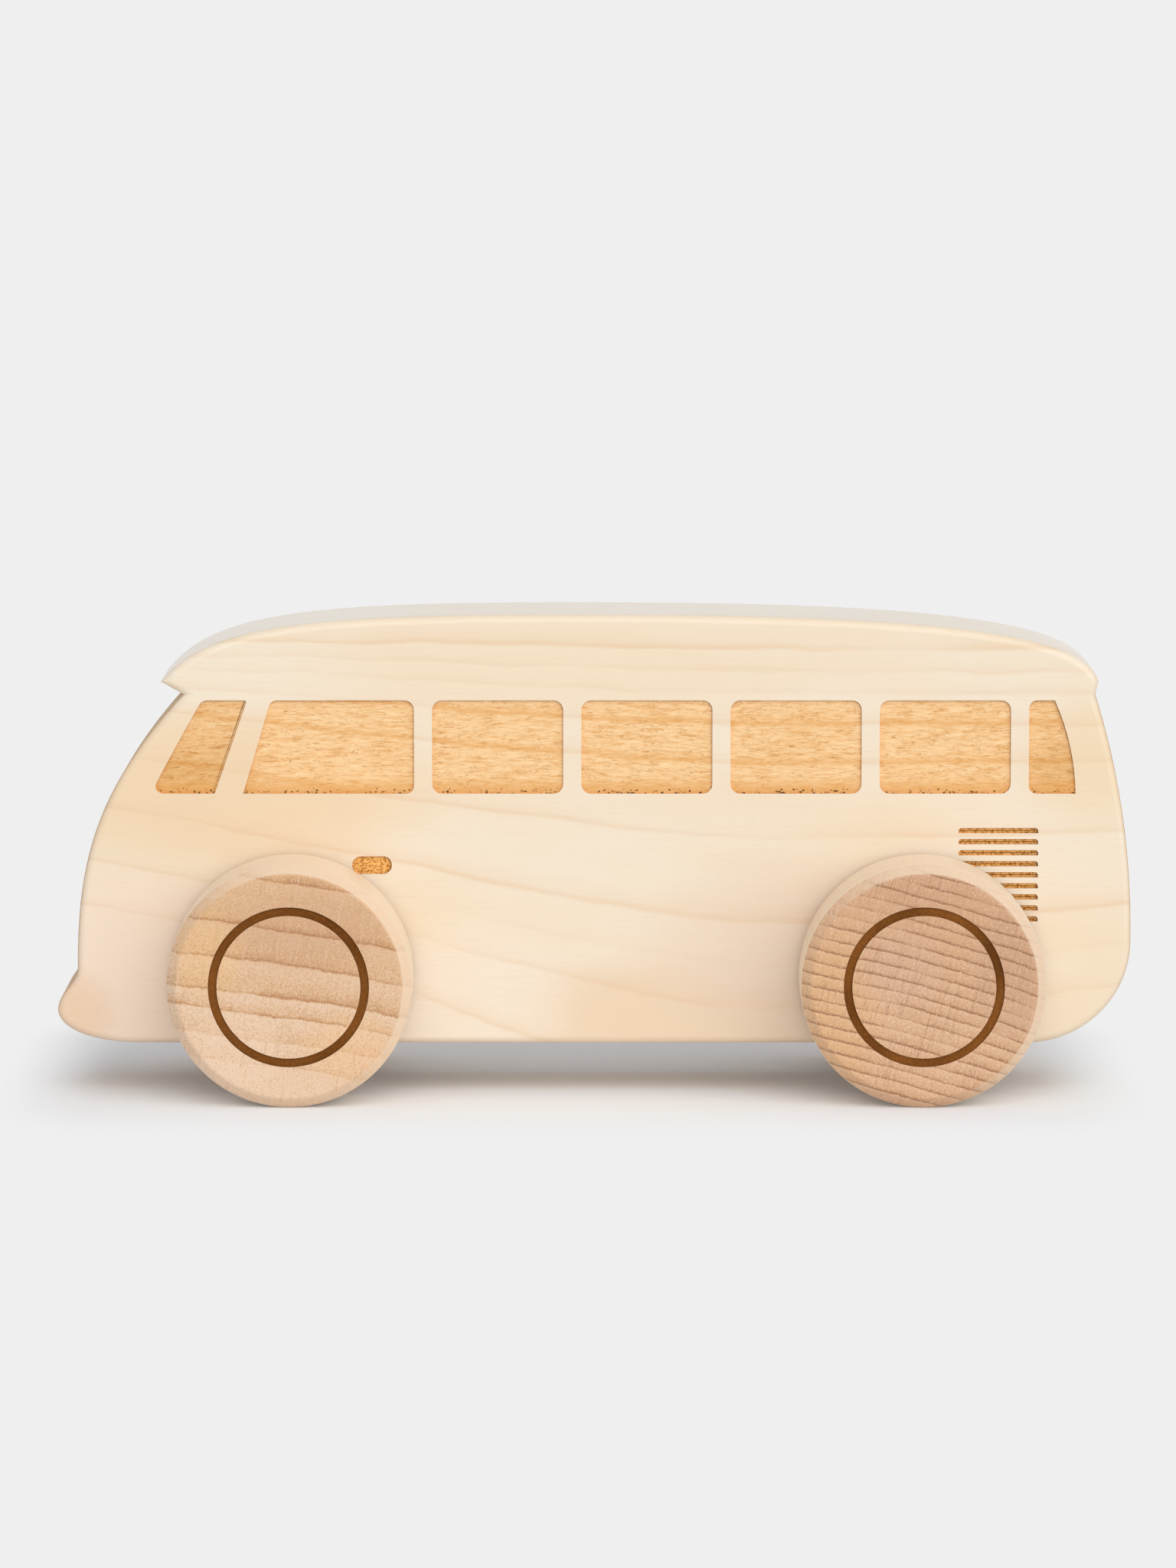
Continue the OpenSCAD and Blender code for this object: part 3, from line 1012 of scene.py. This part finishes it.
@dataclass
class Block:
    """The bus-shaped block, sawn from one maple board, with its engraved sides.

    Attributes:
        straight: Angle in radians below which a corner of the outline is left out.
        lip_room: Room without corners beside the front lip, in round-overs.
        overrun: How far a cutter or drill stands out of the block.
        field_margins: Distance of the fields of the sides from the sills and tops of the windows.
        cab_pillar: Distance of the cut in front of the cab window from that window.
        window_burn_and_shade: Darkening of a window's rim: burn everywhere, and painted shade added at the
            rear edge and at the top edge.
        slot_burn_and_shade: The same for the door handle and the vents.
        rear_soot_and_shade: Share of the soot specks at a rear edge, added there as painted shade.
    """

    length: float = 177.0
    height: float = 71.0
    thickness: float = 26.0
    clearance: float = 8.3
    edge_round: float = 1.3
    nose_set_back: float = 3.3
    brow_set_back: float = 21.0
    bumper_rise: float = 5.5
    bumper_throat: float = 6.8
    bumper_run: float = 14.4
    roof_rise: float = 13.2
    front_lip_reach: float = 3.7
    rear_lip_reach: float = 0.5
    lip_rise: float = 2.1
    tail_lean: float = 6.1
    tail_corner: float = 17.0
    tail_upright: float = 1.5
    engrave_depth: float = 0.4
    window_drop: float = 0.9
    window_height: float = 15.4
    window_corner: float = 1.6
    pillar: float = 3.0
    window_start: float = 61.9
    window_end: float = 20.0
    window_count: int = 4
    cab_length: float = 23.5
    cab_slant: float = 4.6
    quarter_gap: float = 3.9
    quarter_set_back: float = 3.1
    quarter_slants: Point = (8.5, 5.4)
    tail_lengths: Point = (7.7, 4.2)
    handle_size: Point = (6.5, 2.9)
    handle_place: Point = (3.7, 10.4)
    vent_size: Point = (13.1, 0.85)
    vent_place: Point = (15.4, 5.7)
    vent_pitch: float = 1.83
    vent_count: int = 9
    axle_d: float = 8.0
    running_clearance: float = 0.08
    axle_places: tuple[float, float] = (-49.7, 53.7)
    axle_z: float = 20.0
    rim_band: float = 0.42
    straight: float = 0.003
    lip_room: float = 1.9
    overrun: float = 0.6
    field_margins: Point = (0.7, 0.4)
    cab_pillar: float = 1.9
    window_burn_and_shade: tuple[float, float, float] = (0.35, 0.28, 0.3)
    slot_burn_and_shade: tuple[float, float, float] = (0.1, 0.9, 0.5)
    rear_soot_and_shade: float = 0.35
    maple: MapleFinish = field(default_factory=MapleFinish)
    sawn: MapleFinish = MapleFinish(
        "sawn_maple", (0.6, 0.75), shine=0.12, toned=(0.5, 1.0), rings=1.3, end=tint(210, 173, 133)
    )
    engraved: EngravedFinish = field(default_factory=EngravedFinish)

    @staticmethod
    def shares(start: Point, end: Point, shares: Sequence[Point]) -> tuple[Point, Point]:
        """Place the two handles of a curve by shares of its run and rise.

        Args:
            start: Where the curve starts.
            end: Where it ends.
            shares: Share of the run and of the rise for each handle.

        Returns:
            The two handles.
        """
        run, rise = end[0] - start[0], end[1] - start[1]
        first, second = ((start[0] + run * u, start[1] + rise * v) for u, v in shares)
        return first, second

    def knots(self) -> list[tuple[Point, Point, Point]]:
        """List the side view's stretches: the start of each, and its two handles.

        Returns:
            The stretches, anticlockwise from the front end of the flat underside.
        """
        long, notch = self.length, self.height - self.roof_rise
        brow = (self.brow_set_back, notch)
        front_lip = (brow[0] - self.front_lip_reach, notch + self.lip_rise)
        tail_notch = (long - self.tail_lean, notch)
        rear_lip = (tail_notch[0] + self.rear_lip_reach, notch + self.lip_rise)
        crown = (0.48 * long, self.height)
        tip = (0.0, self.bumper_rise)
        nose_foot = (self.nose_set_back, self.bumper_rise + self.bumper_throat)
        tail_foot = (long, self.tail_corner + self.tail_upright)
        belly_front, belly_rear = (self.bumper_run, 0.0), (long - self.tail_corner, 0.0)
        corner_top = (long, self.tail_corner)
        straight = ((1 / 3, 1 / 3), (2 / 3, 2 / 3))
        arc = 0.5523
        course: list[tuple[Point, tuple[Point, Point]]] = [
            (belly_front, straight),
            (belly_rear, ((arc, 0), (1, 1 - arc))),
            (corner_top, straight),
            (tail_foot, ((0, 0.34), (0.34, 0.68))),
            (tail_notch, straight),
            (rear_lip, ((0.025, 0.79), (0.37, 1))),
            (crown, ((0.68, 0), (0.89, 0.18))),
            (front_lip, straight),
            (brow, ((0.81, 0.34), (1, 0.6))),
            (nose_foot, ((0, 0.34), (1, 0.6))),
            (tip, ((0, 0.47), (0.28, 1))),
        ]
        ends = [start for start, _ in course[1:]] + [belly_front]
        return [(start, *self.shares(start, end, places)) for (start, places), end in zip(course, ends)]

    def draw(self) -> bpy.types.Object:
        """Draw the side view as one closed curve on the left face, and fill it.

        Returns:
            The filled outline.
        """
        Bench.clear()
        bpy.ops.curve.primitive_bezier_curve_add(location=(0, 0, 0))
        obj = bpy.context.object
        obj.data.resolution_u = 28
        spline = obj.data.splines[0]
        knots = self.knots()
        spline.bezier_points.add(len(knots) - 2)
        spline.use_cyclic_u = True

        def lay(spot: Point) -> tuple[float, float, float]:
            """Lay a point of the side view on the left face."""
            return (
                (spot[0] - self.length / 2) * MM,
                -self.thickness / 2 * MM,
                (spot[1] + self.clearance) * MM,
            )

        for index, (start, leaving, _) in enumerate(knots):
            knot = spline.bezier_points[index]
            knot.handle_left_type = knot.handle_right_type = "FREE"
            knot.co = lay(start)
            knot.handle_right = lay(leaving)
            knot.handle_left = lay(knots[index - 1][2])
        Bench.hold(obj)
        bpy.ops.object.convert(target="MESH")
        obj = bpy.context.object
        with Bench.editing(obj, "VERT"):
            bpy.ops.mesh.select_all(action="SELECT")
            bpy.ops.mesh.remove_doubles(threshold=1e-7)
            bpy.ops.mesh.edge_face_add()
            Bench.pick(obj, "verts", lambda v: abs(v.calc_edge_angle(0.0)) < self.straight)
            bpy.ops.mesh.dissolve_verts()
            lip_rise = self.height - self.roof_rise + self.lip_rise
            lip = Vector(lay((self.brow_set_back - self.front_lip_reach, lip_rise)))
            room = self.lip_room * self.edge_round * MM
            Bench.pick(obj, "verts", lambda v: TOUCH < (v.co - lip).length < room)
            bpy.ops.mesh.dissolve_verts()
        return obj

    def engravings(self) -> list[Engraving]:
        """List the engraved shapes of one side.

        Returns:
            Front window, cab window, side windows, rear window, door handle and vents.
        """
        base = self.clearance
        top = base + self.height - self.roof_rise - self.window_drop
        sill = top - self.window_height
        start = self.window_start - self.length / 2
        pitch = (self.length - self.window_end - self.window_start + self.pillar) / self.window_count
        width = pitch - self.pillar
        cab_rear = start - self.pillar
        cab_front = cab_rear - self.cab_length
        cab = quad((cab_front - self.cab_slant, cab_rear), (cab_front, cab_rear), sill, top)
        rear = cab_front - self.quarter_gap
        front = self.brow_set_back + self.quarter_set_back - self.length / 2
        front_slant, rear_slant = self.quarter_slants
        quarter = quad((front - front_slant, rear - rear_slant), (front, rear), sill, top)
        window = quad((start, start + width), (start, start + width), sill, top)
        end = start + self.window_count * pitch
        tail = quad((end, end + self.tail_lengths[0]), (end, end + self.tail_lengths[1]), sill, top)
        rear, high = cab_rear - self.handle_place[0], sill - self.handle_place[1]
        ends = (rear - self.handle_size[0], rear)
        handle = quad(ends, ends, high - self.handle_size[1], high)
        rear, high = self.length / 2 - self.vent_place[0], sill - self.vent_place[1]
        ends = (rear - self.vent_size[0], rear)
        vent = quad(ends, ends, high - self.vent_size[1], high)
        corner = self.window_corner
        windows, vents = (pitch, 0.0), (0.0, -self.vent_pitch)
        return [
            Engraving(quarter, (1.4, 0.35, 1.4, 0.35), front_bow=0.1),
            Engraving(cab, (0.0, 1.3, 1.3, corner)),
            Engraving(window, (corner,) * 4, repeats=self.window_count, step=windows),
            Engraving(tail, (1.3, 0.0, 1.3, 0.0), rear_bow=0.8),
            Engraving(handle, (1.39,) * 4),
            Engraving(vent, (0.0, 0.0, 0.51, 0.51), repeats=self.vent_count, step=vents),
        ]

    def cutters(self) -> bpy.types.Object:
        """Model all cutters of both sides as one piece.

        Returns:
            The joined cutters.
        """
        made: list[bpy.types.Object] = []
        for shape in self.engravings():
            first = shape.cutter(self.engrave_depth, -self.thickness / 2, self.overrun)
            for count in range(shape.repeats):
                for side in Side:
                    copy = first.copy()
                    copy.data = first.data.copy()
                    bpy.context.collection.objects.link(copy)
                    for vertex in copy.data.vertices:
                        vertex.co.x += count * shape.step[0] * MM
                        vertex.co.z += count * shape.step[1] * MM
                        vertex.co.y *= -side.value
                    made.append(copy)
            bpy.data.objects.remove(first)
        joined = Bench.join(made)
        with Bench.editing(joined):
            Bench.outwards()
        for polygon in joined.data.polygons:
            polygon.material_index = Wood.BURNT
        return joined

    def bore(self) -> bpy.types.Object:
        """Model the two drills for the axle holes as one piece.

        Returns:
            The joined drills.
        """
        radius, length = self.axle_d / 2 + self.running_clearance, self.thickness + 2 * self.overrun
        return Bench.join(
            [Bench.cylinder("drill", radius, length, (x, 0, self.axle_z), 96) for x in self.axle_places]
        )

    def build(self) -> bpy.types.Object:
        """Saw, round over, drill and engrave the block.

        Returns:
            The block, with its finishes.
        """
        obj = self.draw()
        with Bench.editing(obj):
            bpy.ops.mesh.select_all(action="SELECT")
            Bench.extrude(self.thickness)
            Bench.outwards()
            Bench.pick(obj, "edges", lambda e: abs(e.verts[0].co.y - e.verts[1].co.y) < TOUCH)
            Bench.ease(self.edge_round, 6)
        self.strip(obj)
        for finish in (self.maple, self.engraved, self.sawn):
            obj.data.materials.append(finish.material())
        notch = (self.clearance + self.height - self.roof_rise) * MM
        for polygon in obj.data.polygons:
            low = polygon.center.z < notch or polygon.normal.z < -0.3
            polygon.material_index = Wood.SAWN if low and abs(polygon.normal.y) < 0.55 else Wood.PLAIN
        for tool in (self.bore(), self.cutters()):
            while len(tool.data.materials) < len(Wood):
                tool.data.materials.append(obj.data.materials[len(tool.data.materials)])
            Bench.apply(obj, "BOOLEAN", operation="DIFFERENCE", solver="EXACT", object=tool)
            bpy.data.objects.remove(tool)
        self.band_floors(obj)
        self.mark_burns(obj)
        Bench.smooth(obj)
        return Bench.settle(obj, "bus_block")

    def strip(self, obj: bpy.types.Object) -> None:
        """Part the flat sides into fields, one or a few for each engraving, so that they stay flat.

        Args:
            obj: The block before it is engraved.
        """
        shapes = self.engravings()
        cab, handle, vents = shapes[1].corners, shapes[4].corners, shapes[5].corners
        sill, top = cab[0][1], cab[2][1]
        below, above = sill - self.field_margins[0], top + self.field_margins[1]
        pitch, start = shapes[2].step[0], shapes[2].corners[0][0] - self.pillar / 2

        def part(low: float, high: float, at: Point, across: tuple[float, float, float]) -> None:
            """Bisect the side faces between two heights."""
            Bench.pick(
                obj,
                "faces",
                lambda f: abs(f.normal.y) > 0.999 and low < f.calc_center_bounds().z / MM < high,
            )
            bpy.ops.mesh.bisect(plane_co=(at[0] * MM, 0, at[1] * MM), plane_no=across)

        with Bench.editing(obj):
            for level in (below, above):
                part(0, 100, (0, level), (0, 0, 1))
            slope = Vector((top - sill, 0, cab[0][0] - cab[2][0])).normalized()
            part(below, above, (cab[2][0] - self.cab_pillar, top), tuple(slope))
            for count in range(self.window_count + 1):
                part(below, above, (start + count * pitch, 0), (1, 0, 0))
            for x in (handle[0][0] - 2.5, handle[1][0] + 5, 20.0, vents[0][0] - 1.1):
                part(0, below, (x, 0), (1, 0, 0))
            for x in (-40.0, 0.0, 40.0):
                part(above, 100, (x, 0), (1, 0, 0))

    def band_floors(self, obj: bpy.types.Object) -> None:
        """Run narrow bands round the floors of the engravings, for the burnt edges and their painted
        shade.

        Args:
            obj: The engraved block.
        """
        floor = (self.thickness / 2 - self.engrave_depth) * MM

        def is_floor(face: bmesh.types.BMFace) -> bool:
            """Say whether a face is the floor of an engraving."""
            depth = abs(abs(face.calc_center_median().y) - floor)
            return face.material_index == Wood.BURNT and depth < 10 * TOUCH

        with Bench.editing(obj):
            Bench.pick(obj, "faces", is_floor)
            bpy.ops.mesh.inset(thickness=self.rim_band * MM, use_even_offset=True)

    def mark_burns(self, obj: bpy.types.Object) -> None:
        """Store on the mesh where the engravings are burnt, with painted shade at their rear and top
        edges: rims, soot and scorched parts.

        Args:
            obj: The engraved block, with banded floors.
        """
        mesh = bmesh.new()
        mesh.from_mesh(obj.data)
        mesh.normal_update()
        rim = mesh.verts.layers.float.new("rim")
        soot = mesh.verts.layers.float.new("soot")
        scorch = mesh.verts.layers.float.new("scorch")
        sill = self.clearance + self.height - self.roof_rise - self.window_drop - self.window_height
        burnt = [f for f in mesh.faces if f.material_index == Wood.BURNT]
        for vertex in {v for f in burnt for v in f.verts}:
            around = [f for f in vertex.link_faces if f.material_index == Wood.BURNT]
            walls = [f for f in around if abs(f.normal.y) < 0.5]
            low = vertex.co.z / MM < sill - 1
            if low:
                vertex[scorch] = 1.0
            if not walls:
                continue
            normal = sum((f.normal for f in walls), Vector()).normalized()
            # Painted shade: rear and top walls face away from the lamp, so their rims get more darkening,
            # and rear walls get more specks.
            right, top = max(0.0, -normal.x), max(0.0, -normal.z)
            base, beside, above = self.slot_burn_and_shade if low else self.window_burn_and_shade
            vertex[rim] = base + beside * right + above * top
            vertex[soot] = max(0.0, normal.z) + self.rear_soot_and_shade * right
        mesh.to_mesh(obj.data)
        mesh.free()


@dataclass
class Wheel:
    """A solid turned wheel with a burnt ring on its outer face and a blind hole in the inner one."""

    node: str
    x: float
    side: Side
    finish: EndGrainFinish
    diameter: float = 40.0
    width: float = 16.0
    inner_face: float = 14.0
    outer_edge: float = 1.6
    inner_edge: float = 0.8
    edge_ease: float = 0.35
    ring_d: float = 24.8
    ring_width: float = 1.4
    ring_depth: float = 0.3
    bore_d: float = 8.08
    bore_depth: float = 10.0

    def reach(self, spot: Vector) -> float:
        """Give the distance of a point from the axle's line, in millimetres."""
        return math.hypot(spot.x / MM - self.x, spot.z / MM - self.diameter / 2)

    def on_circle(self, edge: bmesh.types.BMEdge, level: float, radius: float) -> bool:
        """Say whether an edge lies on a circle about the axle's line.

        Args:
            edge: The edge.
            level: Place of the circle across the toy, in metres.
            radius: Radius of the circle.

        Returns:
            Whether both its ends do.
        """
        return all(
            abs(end.co.y - level) < TOUCH and abs(self.reach(end.co) - radius) < NEAR for end in edge.verts
        )

    def build(self, burnt: bpy.types.Material) -> bpy.types.Object:
        """Turn, drill and burn the wheel.

        Args:
            burnt: Finish of the burnt ring.

        Returns:
            The wheel, with its finishes.
        """
        side, radius = self.side.value, self.diameter / 2
        outer, inner = side * (self.inner_face + self.width) * MM, side * self.inner_face * MM
        shoulder = outer - side * self.outer_edge * MM
        middle = (self.x, side * (self.inner_face + self.width / 2), radius)
        obj = Bench.cylinder(self.node + "_turned", radius, self.width, middle, 192)
        ring, half_ring = self.ring_d / 2, self.ring_width / 2

        def is_cap(face: bmesh.types.BMFace, level: float) -> bool:
            """Say whether a face is the middle disc of an end."""
            return len(face.verts) > 4 and abs(face.calc_center_median().y - level) < TOUCH

        def is_ring(face: bmesh.types.BMFace) -> bool:
            """Say whether a face lies in the ring on the outer end."""
            spot = face.calc_center_median()
            return (
                len(face.verts) == 4
                and abs(spot.y - outer) < TOUCH
                and abs(self.reach(spot) - ring) < half_ring
            )

        with Bench.editing(obj):
            for rim, size, steps in ((outer, self.outer_edge, 1), (inner, self.inner_edge, 3)):
                Bench.pick(obj, "edges", lambda e, y=rim: self.on_circle(e, y, radius))
                Bench.ease(size, steps)
            Bench.pick(
                obj,
                "edges",
                lambda e: self.on_circle(e, outer, radius - self.outer_edge)
                or self.on_circle(e, shoulder, radius),
            )
            Bench.ease(self.edge_ease, 4)
            Bench.pick(obj, "faces", lambda f: is_cap(f, outer))
            flat = radius - self.outer_edge - self.edge_ease
            bpy.ops.mesh.inset(thickness=(flat - ring - half_ring) * MM)
            bpy.ops.mesh.inset(thickness=self.ring_width * MM)
            Bench.pick(obj, "faces", is_ring)
            Bench.extrude(-side * self.ring_depth)
            Bench.pick(obj, "faces", lambda f: is_cap(f, inner))
            bpy.ops.mesh.inset(thickness=(radius - self.inner_edge - self.bore_d / 2) * MM)
            Bench.extrude(side * self.bore_depth)
            Bench.outwards()
        obj.data.materials.append(self.finish.material())
        obj.data.materials.append(burnt)
        for polygon in obj.data.polygons:
            depth = abs(polygon.center.y - outer) / MM
            near = abs(self.reach(polygon.center) - ring) < half_ring + NEAR
            deep = 0.01 < depth < self.ring_depth + 0.01
            polygon.material_index = Wood.BURNT if near and deep else Wood.PLAIN
        Bench.smooth(obj)
        return obj


@dataclass
class Axle:
    """A beech dowel across the toy, with eased ends."""

    node: str
    x: float
    z: float = 20.0
    diameter: float = 8.0
    reach: float = 23.6
    edge: float = 0.5

    def build(self, finish: bpy.types.Material) -> bpy.types.Object:
        """Cut and ease the dowel.

        Args:
            finish: Finish of the dowel.

        Returns:
            The dowel, with its finish.
        """
        middle = (self.x, 0, self.z)
        obj = Bench.cylinder(self.node + "_dowel", self.diameter / 2, 2 * self.reach, middle, 72)
        end = self.reach * MM
        with Bench.editing(obj):
            Bench.pick(obj, "edges", lambda e: all(abs(abs(v.co.y) - end) < TOUCH for v in e.verts))
            Bench.ease(self.edge, 3)
            Bench.outwards()
        obj.data.materials.append(finish)
        Bench.smooth(obj)
        return obj


@dataclass
class Wheelset:
    """Two wheels glued to one axle, which turn together in the block."""

    body: str
    axle: Axle
    wheels: tuple[Wheel, Wheel]

    def build(self, dowel: bpy.types.Material, burnt: bpy.types.Material) -> None:
        """Model the axle and its wheels and mount them.

        Args:
            dowel: Finish of the axle.
            burnt: Finish of the rings.
        """
        mount(self.axle.build(dowel), self.axle.node, self.body)
        for wheel in self.wheels:
            mount(wheel.build(burnt), wheel.node, self.body)


@dataclass
class Studio:
    """Pale table, soft light and the camera of the photograph."""

    floor_size: float = 800.0
    floor_colour: Colour = tint(239, 239, 239)
    near_colour: Colour = (0.955, 0.97, 1.0, 1.0)
    shade_middle: Point = (-3.5, 13.0)
    shade_half: Point = (77.0, 33.0)
    shade_fade: Point = (20.0, 40.0)
    shade_lift: float = 0.03
    sky: float = 0.6
    sky_lean: tuple[float, float, float] = (0.1, -0.25, 0.0)
    sky_colour: Colour = (0.975, 0.985, 1.0, 1.0)
    key: float = 1.36
    key_colour: tuple[float, float, float] = (1.0, 0.97, 0.92)
    key_from: tuple[float, float, float] = (0.32, -0.8, 0.42)
    key_spread: float = 75.0
    camera_at: tuple[float, float, float] = (-0.00099, -1.19275, 0.18164)
    camera_tilt: float = 83.7
    lens: float = 165.72

    def seen(self, recipe: Recipe) -> Socket:
        """Tell the rays that show a surface from those that only carry light.

        Args:
            recipe: Finish that is being made.

        Returns:
            1 for a camera, glossy or transmission ray, otherwise 0.
        """
        paths = recipe.add("LightPath").outputs
        shown = recipe.math("MAXIMUM", paths["Is Camera Ray"], paths["Is Glossy Ray"])
        return recipe.math("MAXIMUM", shown, paths["Is Transmission Ray"])

    def floor(self) -> None:
        """Lay the table, which keeps the shadow near the toy and looks evenly pale farther off."""
        Bench.clear()
        bpy.ops.mesh.primitive_plane_add(size=self.floor_size, location=(0, 0, 0))
        plane = Bench.settle(bpy.context.object, "table")
        recipe = Recipe.named("table_paper")
        seen = self.seen(recipe)
        tone = recipe.mix(seen, self.floor_colour, self.near_colour)
        paper = recipe.add("BsdfDiffuse", {"Color": tone})
        even = recipe.add("Emission", {"Color": self.floor_colour})
        outside: list[Socket] = []
        spot = recipe.parts(recipe.place())
        for at, middle, half, fade in zip(spot, self.shade_middle, self.shade_half, self.shade_fade):
            off = recipe.math("ABSOLUTE", recipe.math("SUBTRACT", at, middle))
            off = recipe.math("MAXIMUM", recipe.math("SUBTRACT", off, half), 0.0)
            outside.append(recipe.math("DIVIDE", off, fade))
        away = recipe.add("VectorMath", (recipe.join(*outside, 0.0),), operation="LENGTH")
        share = recipe.span(away.outputs["Value"], 0, 1, self.shade_lift, 1)
        mixed = recipe.mix_shaders(recipe.times(share, seen), paper, even)
        recipe.add("OutputMaterial", {"Surface": mixed})
        recipe.owner.cycles.emission_sampling = "NONE"
        plane.data.materials.append(recipe.owner)

    def light(self) -> None:
        """Light the table with a soft sky, brighter at the front right, and one broad lamp."""
        recipe = Recipe(bpy.data.worlds.new("studio"))
        bpy.context.scene.world = recipe.owner
        ray = recipe.add("TexCoord").outputs["Generated"]
        lean = recipe.add("VectorMath", (ray, self.sky_lean), operation="DOT_PRODUCT")
        strength = recipe.math("ADD", lean.outputs["Value"], self.sky)
        sky = recipe.add("Background", {"Color": self.sky_colour, "Strength": strength})
        wall = recipe.add("Background", {"Color": self.floor_colour})
        mixed = recipe.mix_shaders(self.seen(recipe), sky, wall)
        recipe.add("OutputWorld", {"Surface": mixed})
        lamp = bpy.data.lights.new("key", "SUN")
        lamp.energy, lamp.color, lamp.angle = self.key, self.key_colour, math.radians(self.key_spread)
        key = bpy.data.objects.new("key", lamp)
        key.rotation_mode = "QUATERNION"
        key.rotation_quaternion = Vector(self.key_from).to_track_quat("Z", "Y")
        bpy.context.scene.collection.objects.link(key)

    def camera(self) -> None:
        """Set up the camera."""
        data = bpy.data.cameras.new("camera")
        data.sensor_fit = "AUTO"
        data.sensor_width = 36.0
        data.lens = self.lens
        data.clip_start, data.clip_end = 0.01, 2000.0
        camera = bpy.data.objects.new("camera", data)
        camera.location = self.camera_at
        camera.rotation_euler = (math.radians(self.camera_tilt), 0.0, 0.0)
        bpy.context.scene.collection.objects.link(camera)
        bpy.context.scene.camera = camera

    def build(self) -> None:
        """Set up the whole studio."""
        self.floor()
        self.light()
        self.camera()
        bpy.context.scene.view_settings.view_transform = "Standard"
        log.info("studio: table, sky, key lamp and camera")


def wheelsets() -> list[Wheelset]:
    """Describe the two wheelsets.

    Returns:
        The front and the rear wheelset.
    """
    front, rear, height = -49.7, 53.7, 20.0
    coarse = EndGrainFinish(
        "front_left_end_grain",
        (front, height),
        tilt=8.5,
        arch=400.0,
        lines=(
            (-12.9, 0.5),
            (-8.9, 0.65),
            (-4.8, 0.85),
            (-1.8, 0.95),
            (3.4, 0.95),
            (8.9, 1.0),
            (13.9, 0.35),
            (16.9, 1.0),
        ),
        rays=0.25,
        seed=1.0,
        patches=(
            Cloud((3, 9), (17, 8), tint(203, 158, 124), 0.5),
            Cloud((-13, 5), (7, 9), tint(233, 188, 130), 0.45),
            Cloud((10, -10), (10, 7), tint(236, 190, 142), 0.45),
            Cloud((-9, -11), (10, 8), tint(238, 208, 182), 0.5),
        ),
    )
    fine = EndGrainFinish(
        "rear_left_end_grain",
        (rear, height),
        tilt=15.5,
        arch=260.0,
        spacing=2.0,
        rays=0.3,
        cracks=0.4,
        sway=1.1,
        patches=(
            Cloud((-14, -4), (9, 17), tint(222, 174, 116), 0.4),
            Cloud((-4, 3), (9, 8), tint(214, 174, 150), 0.4),
            Cloud((15, 3), (9, 15), tint(196, 154, 124), 0.5),
            Cloud((2, 16), (16, 6), tint(203, 158, 124), 0.5),
        ),
        seed=2.0,
        pale=tint(226, 187, 153),
        tan=tint(216, 173, 137),
        brown=tint(203, 157, 119),
        line=tint(150, 100, 66),
        shade=tint(205, 158, 118),
    )
    plain = EndGrainFinish(
        "front_right_end_grain", (front, height), tilt=-24.0, arch=120.0, spacing=3.4, seed=3.0
    )
    tight = EndGrainFinish(
        "rear_right_end_grain", (rear, height), tilt=35.0, arch=90.0, spacing=2.9, cracks=0.3, seed=4.0
    )
    return [
        Wheelset(
            "front_wheelset",
            Axle("front_axle", front),
            (
                Wheel("front_left_wheel", front, Side.LEFT, coarse),
                Wheel("front_right_wheel", front, Side.RIGHT, plain),
            ),
        ),
        Wheelset(
            "rear_wheelset",
            Axle("rear_axle", rear),
            (
                Wheel("rear_left_wheel", rear, Side.LEFT, fine),
                Wheel("rear_right_wheel", rear, Side.RIGHT, tight),
            ),
        ),
    ]


def main() -> None:
    """Build and dress the toy and set up the studio."""
    logging.basicConfig(level=logging.INFO, format="%(name)s: %(message)s")
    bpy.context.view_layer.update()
    mount(Block().build(), "body", "block")
    dowel, burnt = DowelFinish().material(), BurntRingFinish().material()
    for wheelset in wheelsets():
        wheelset.build(dowel, burnt)
    Studio().build()


if __name__ == "__main__":
    main()
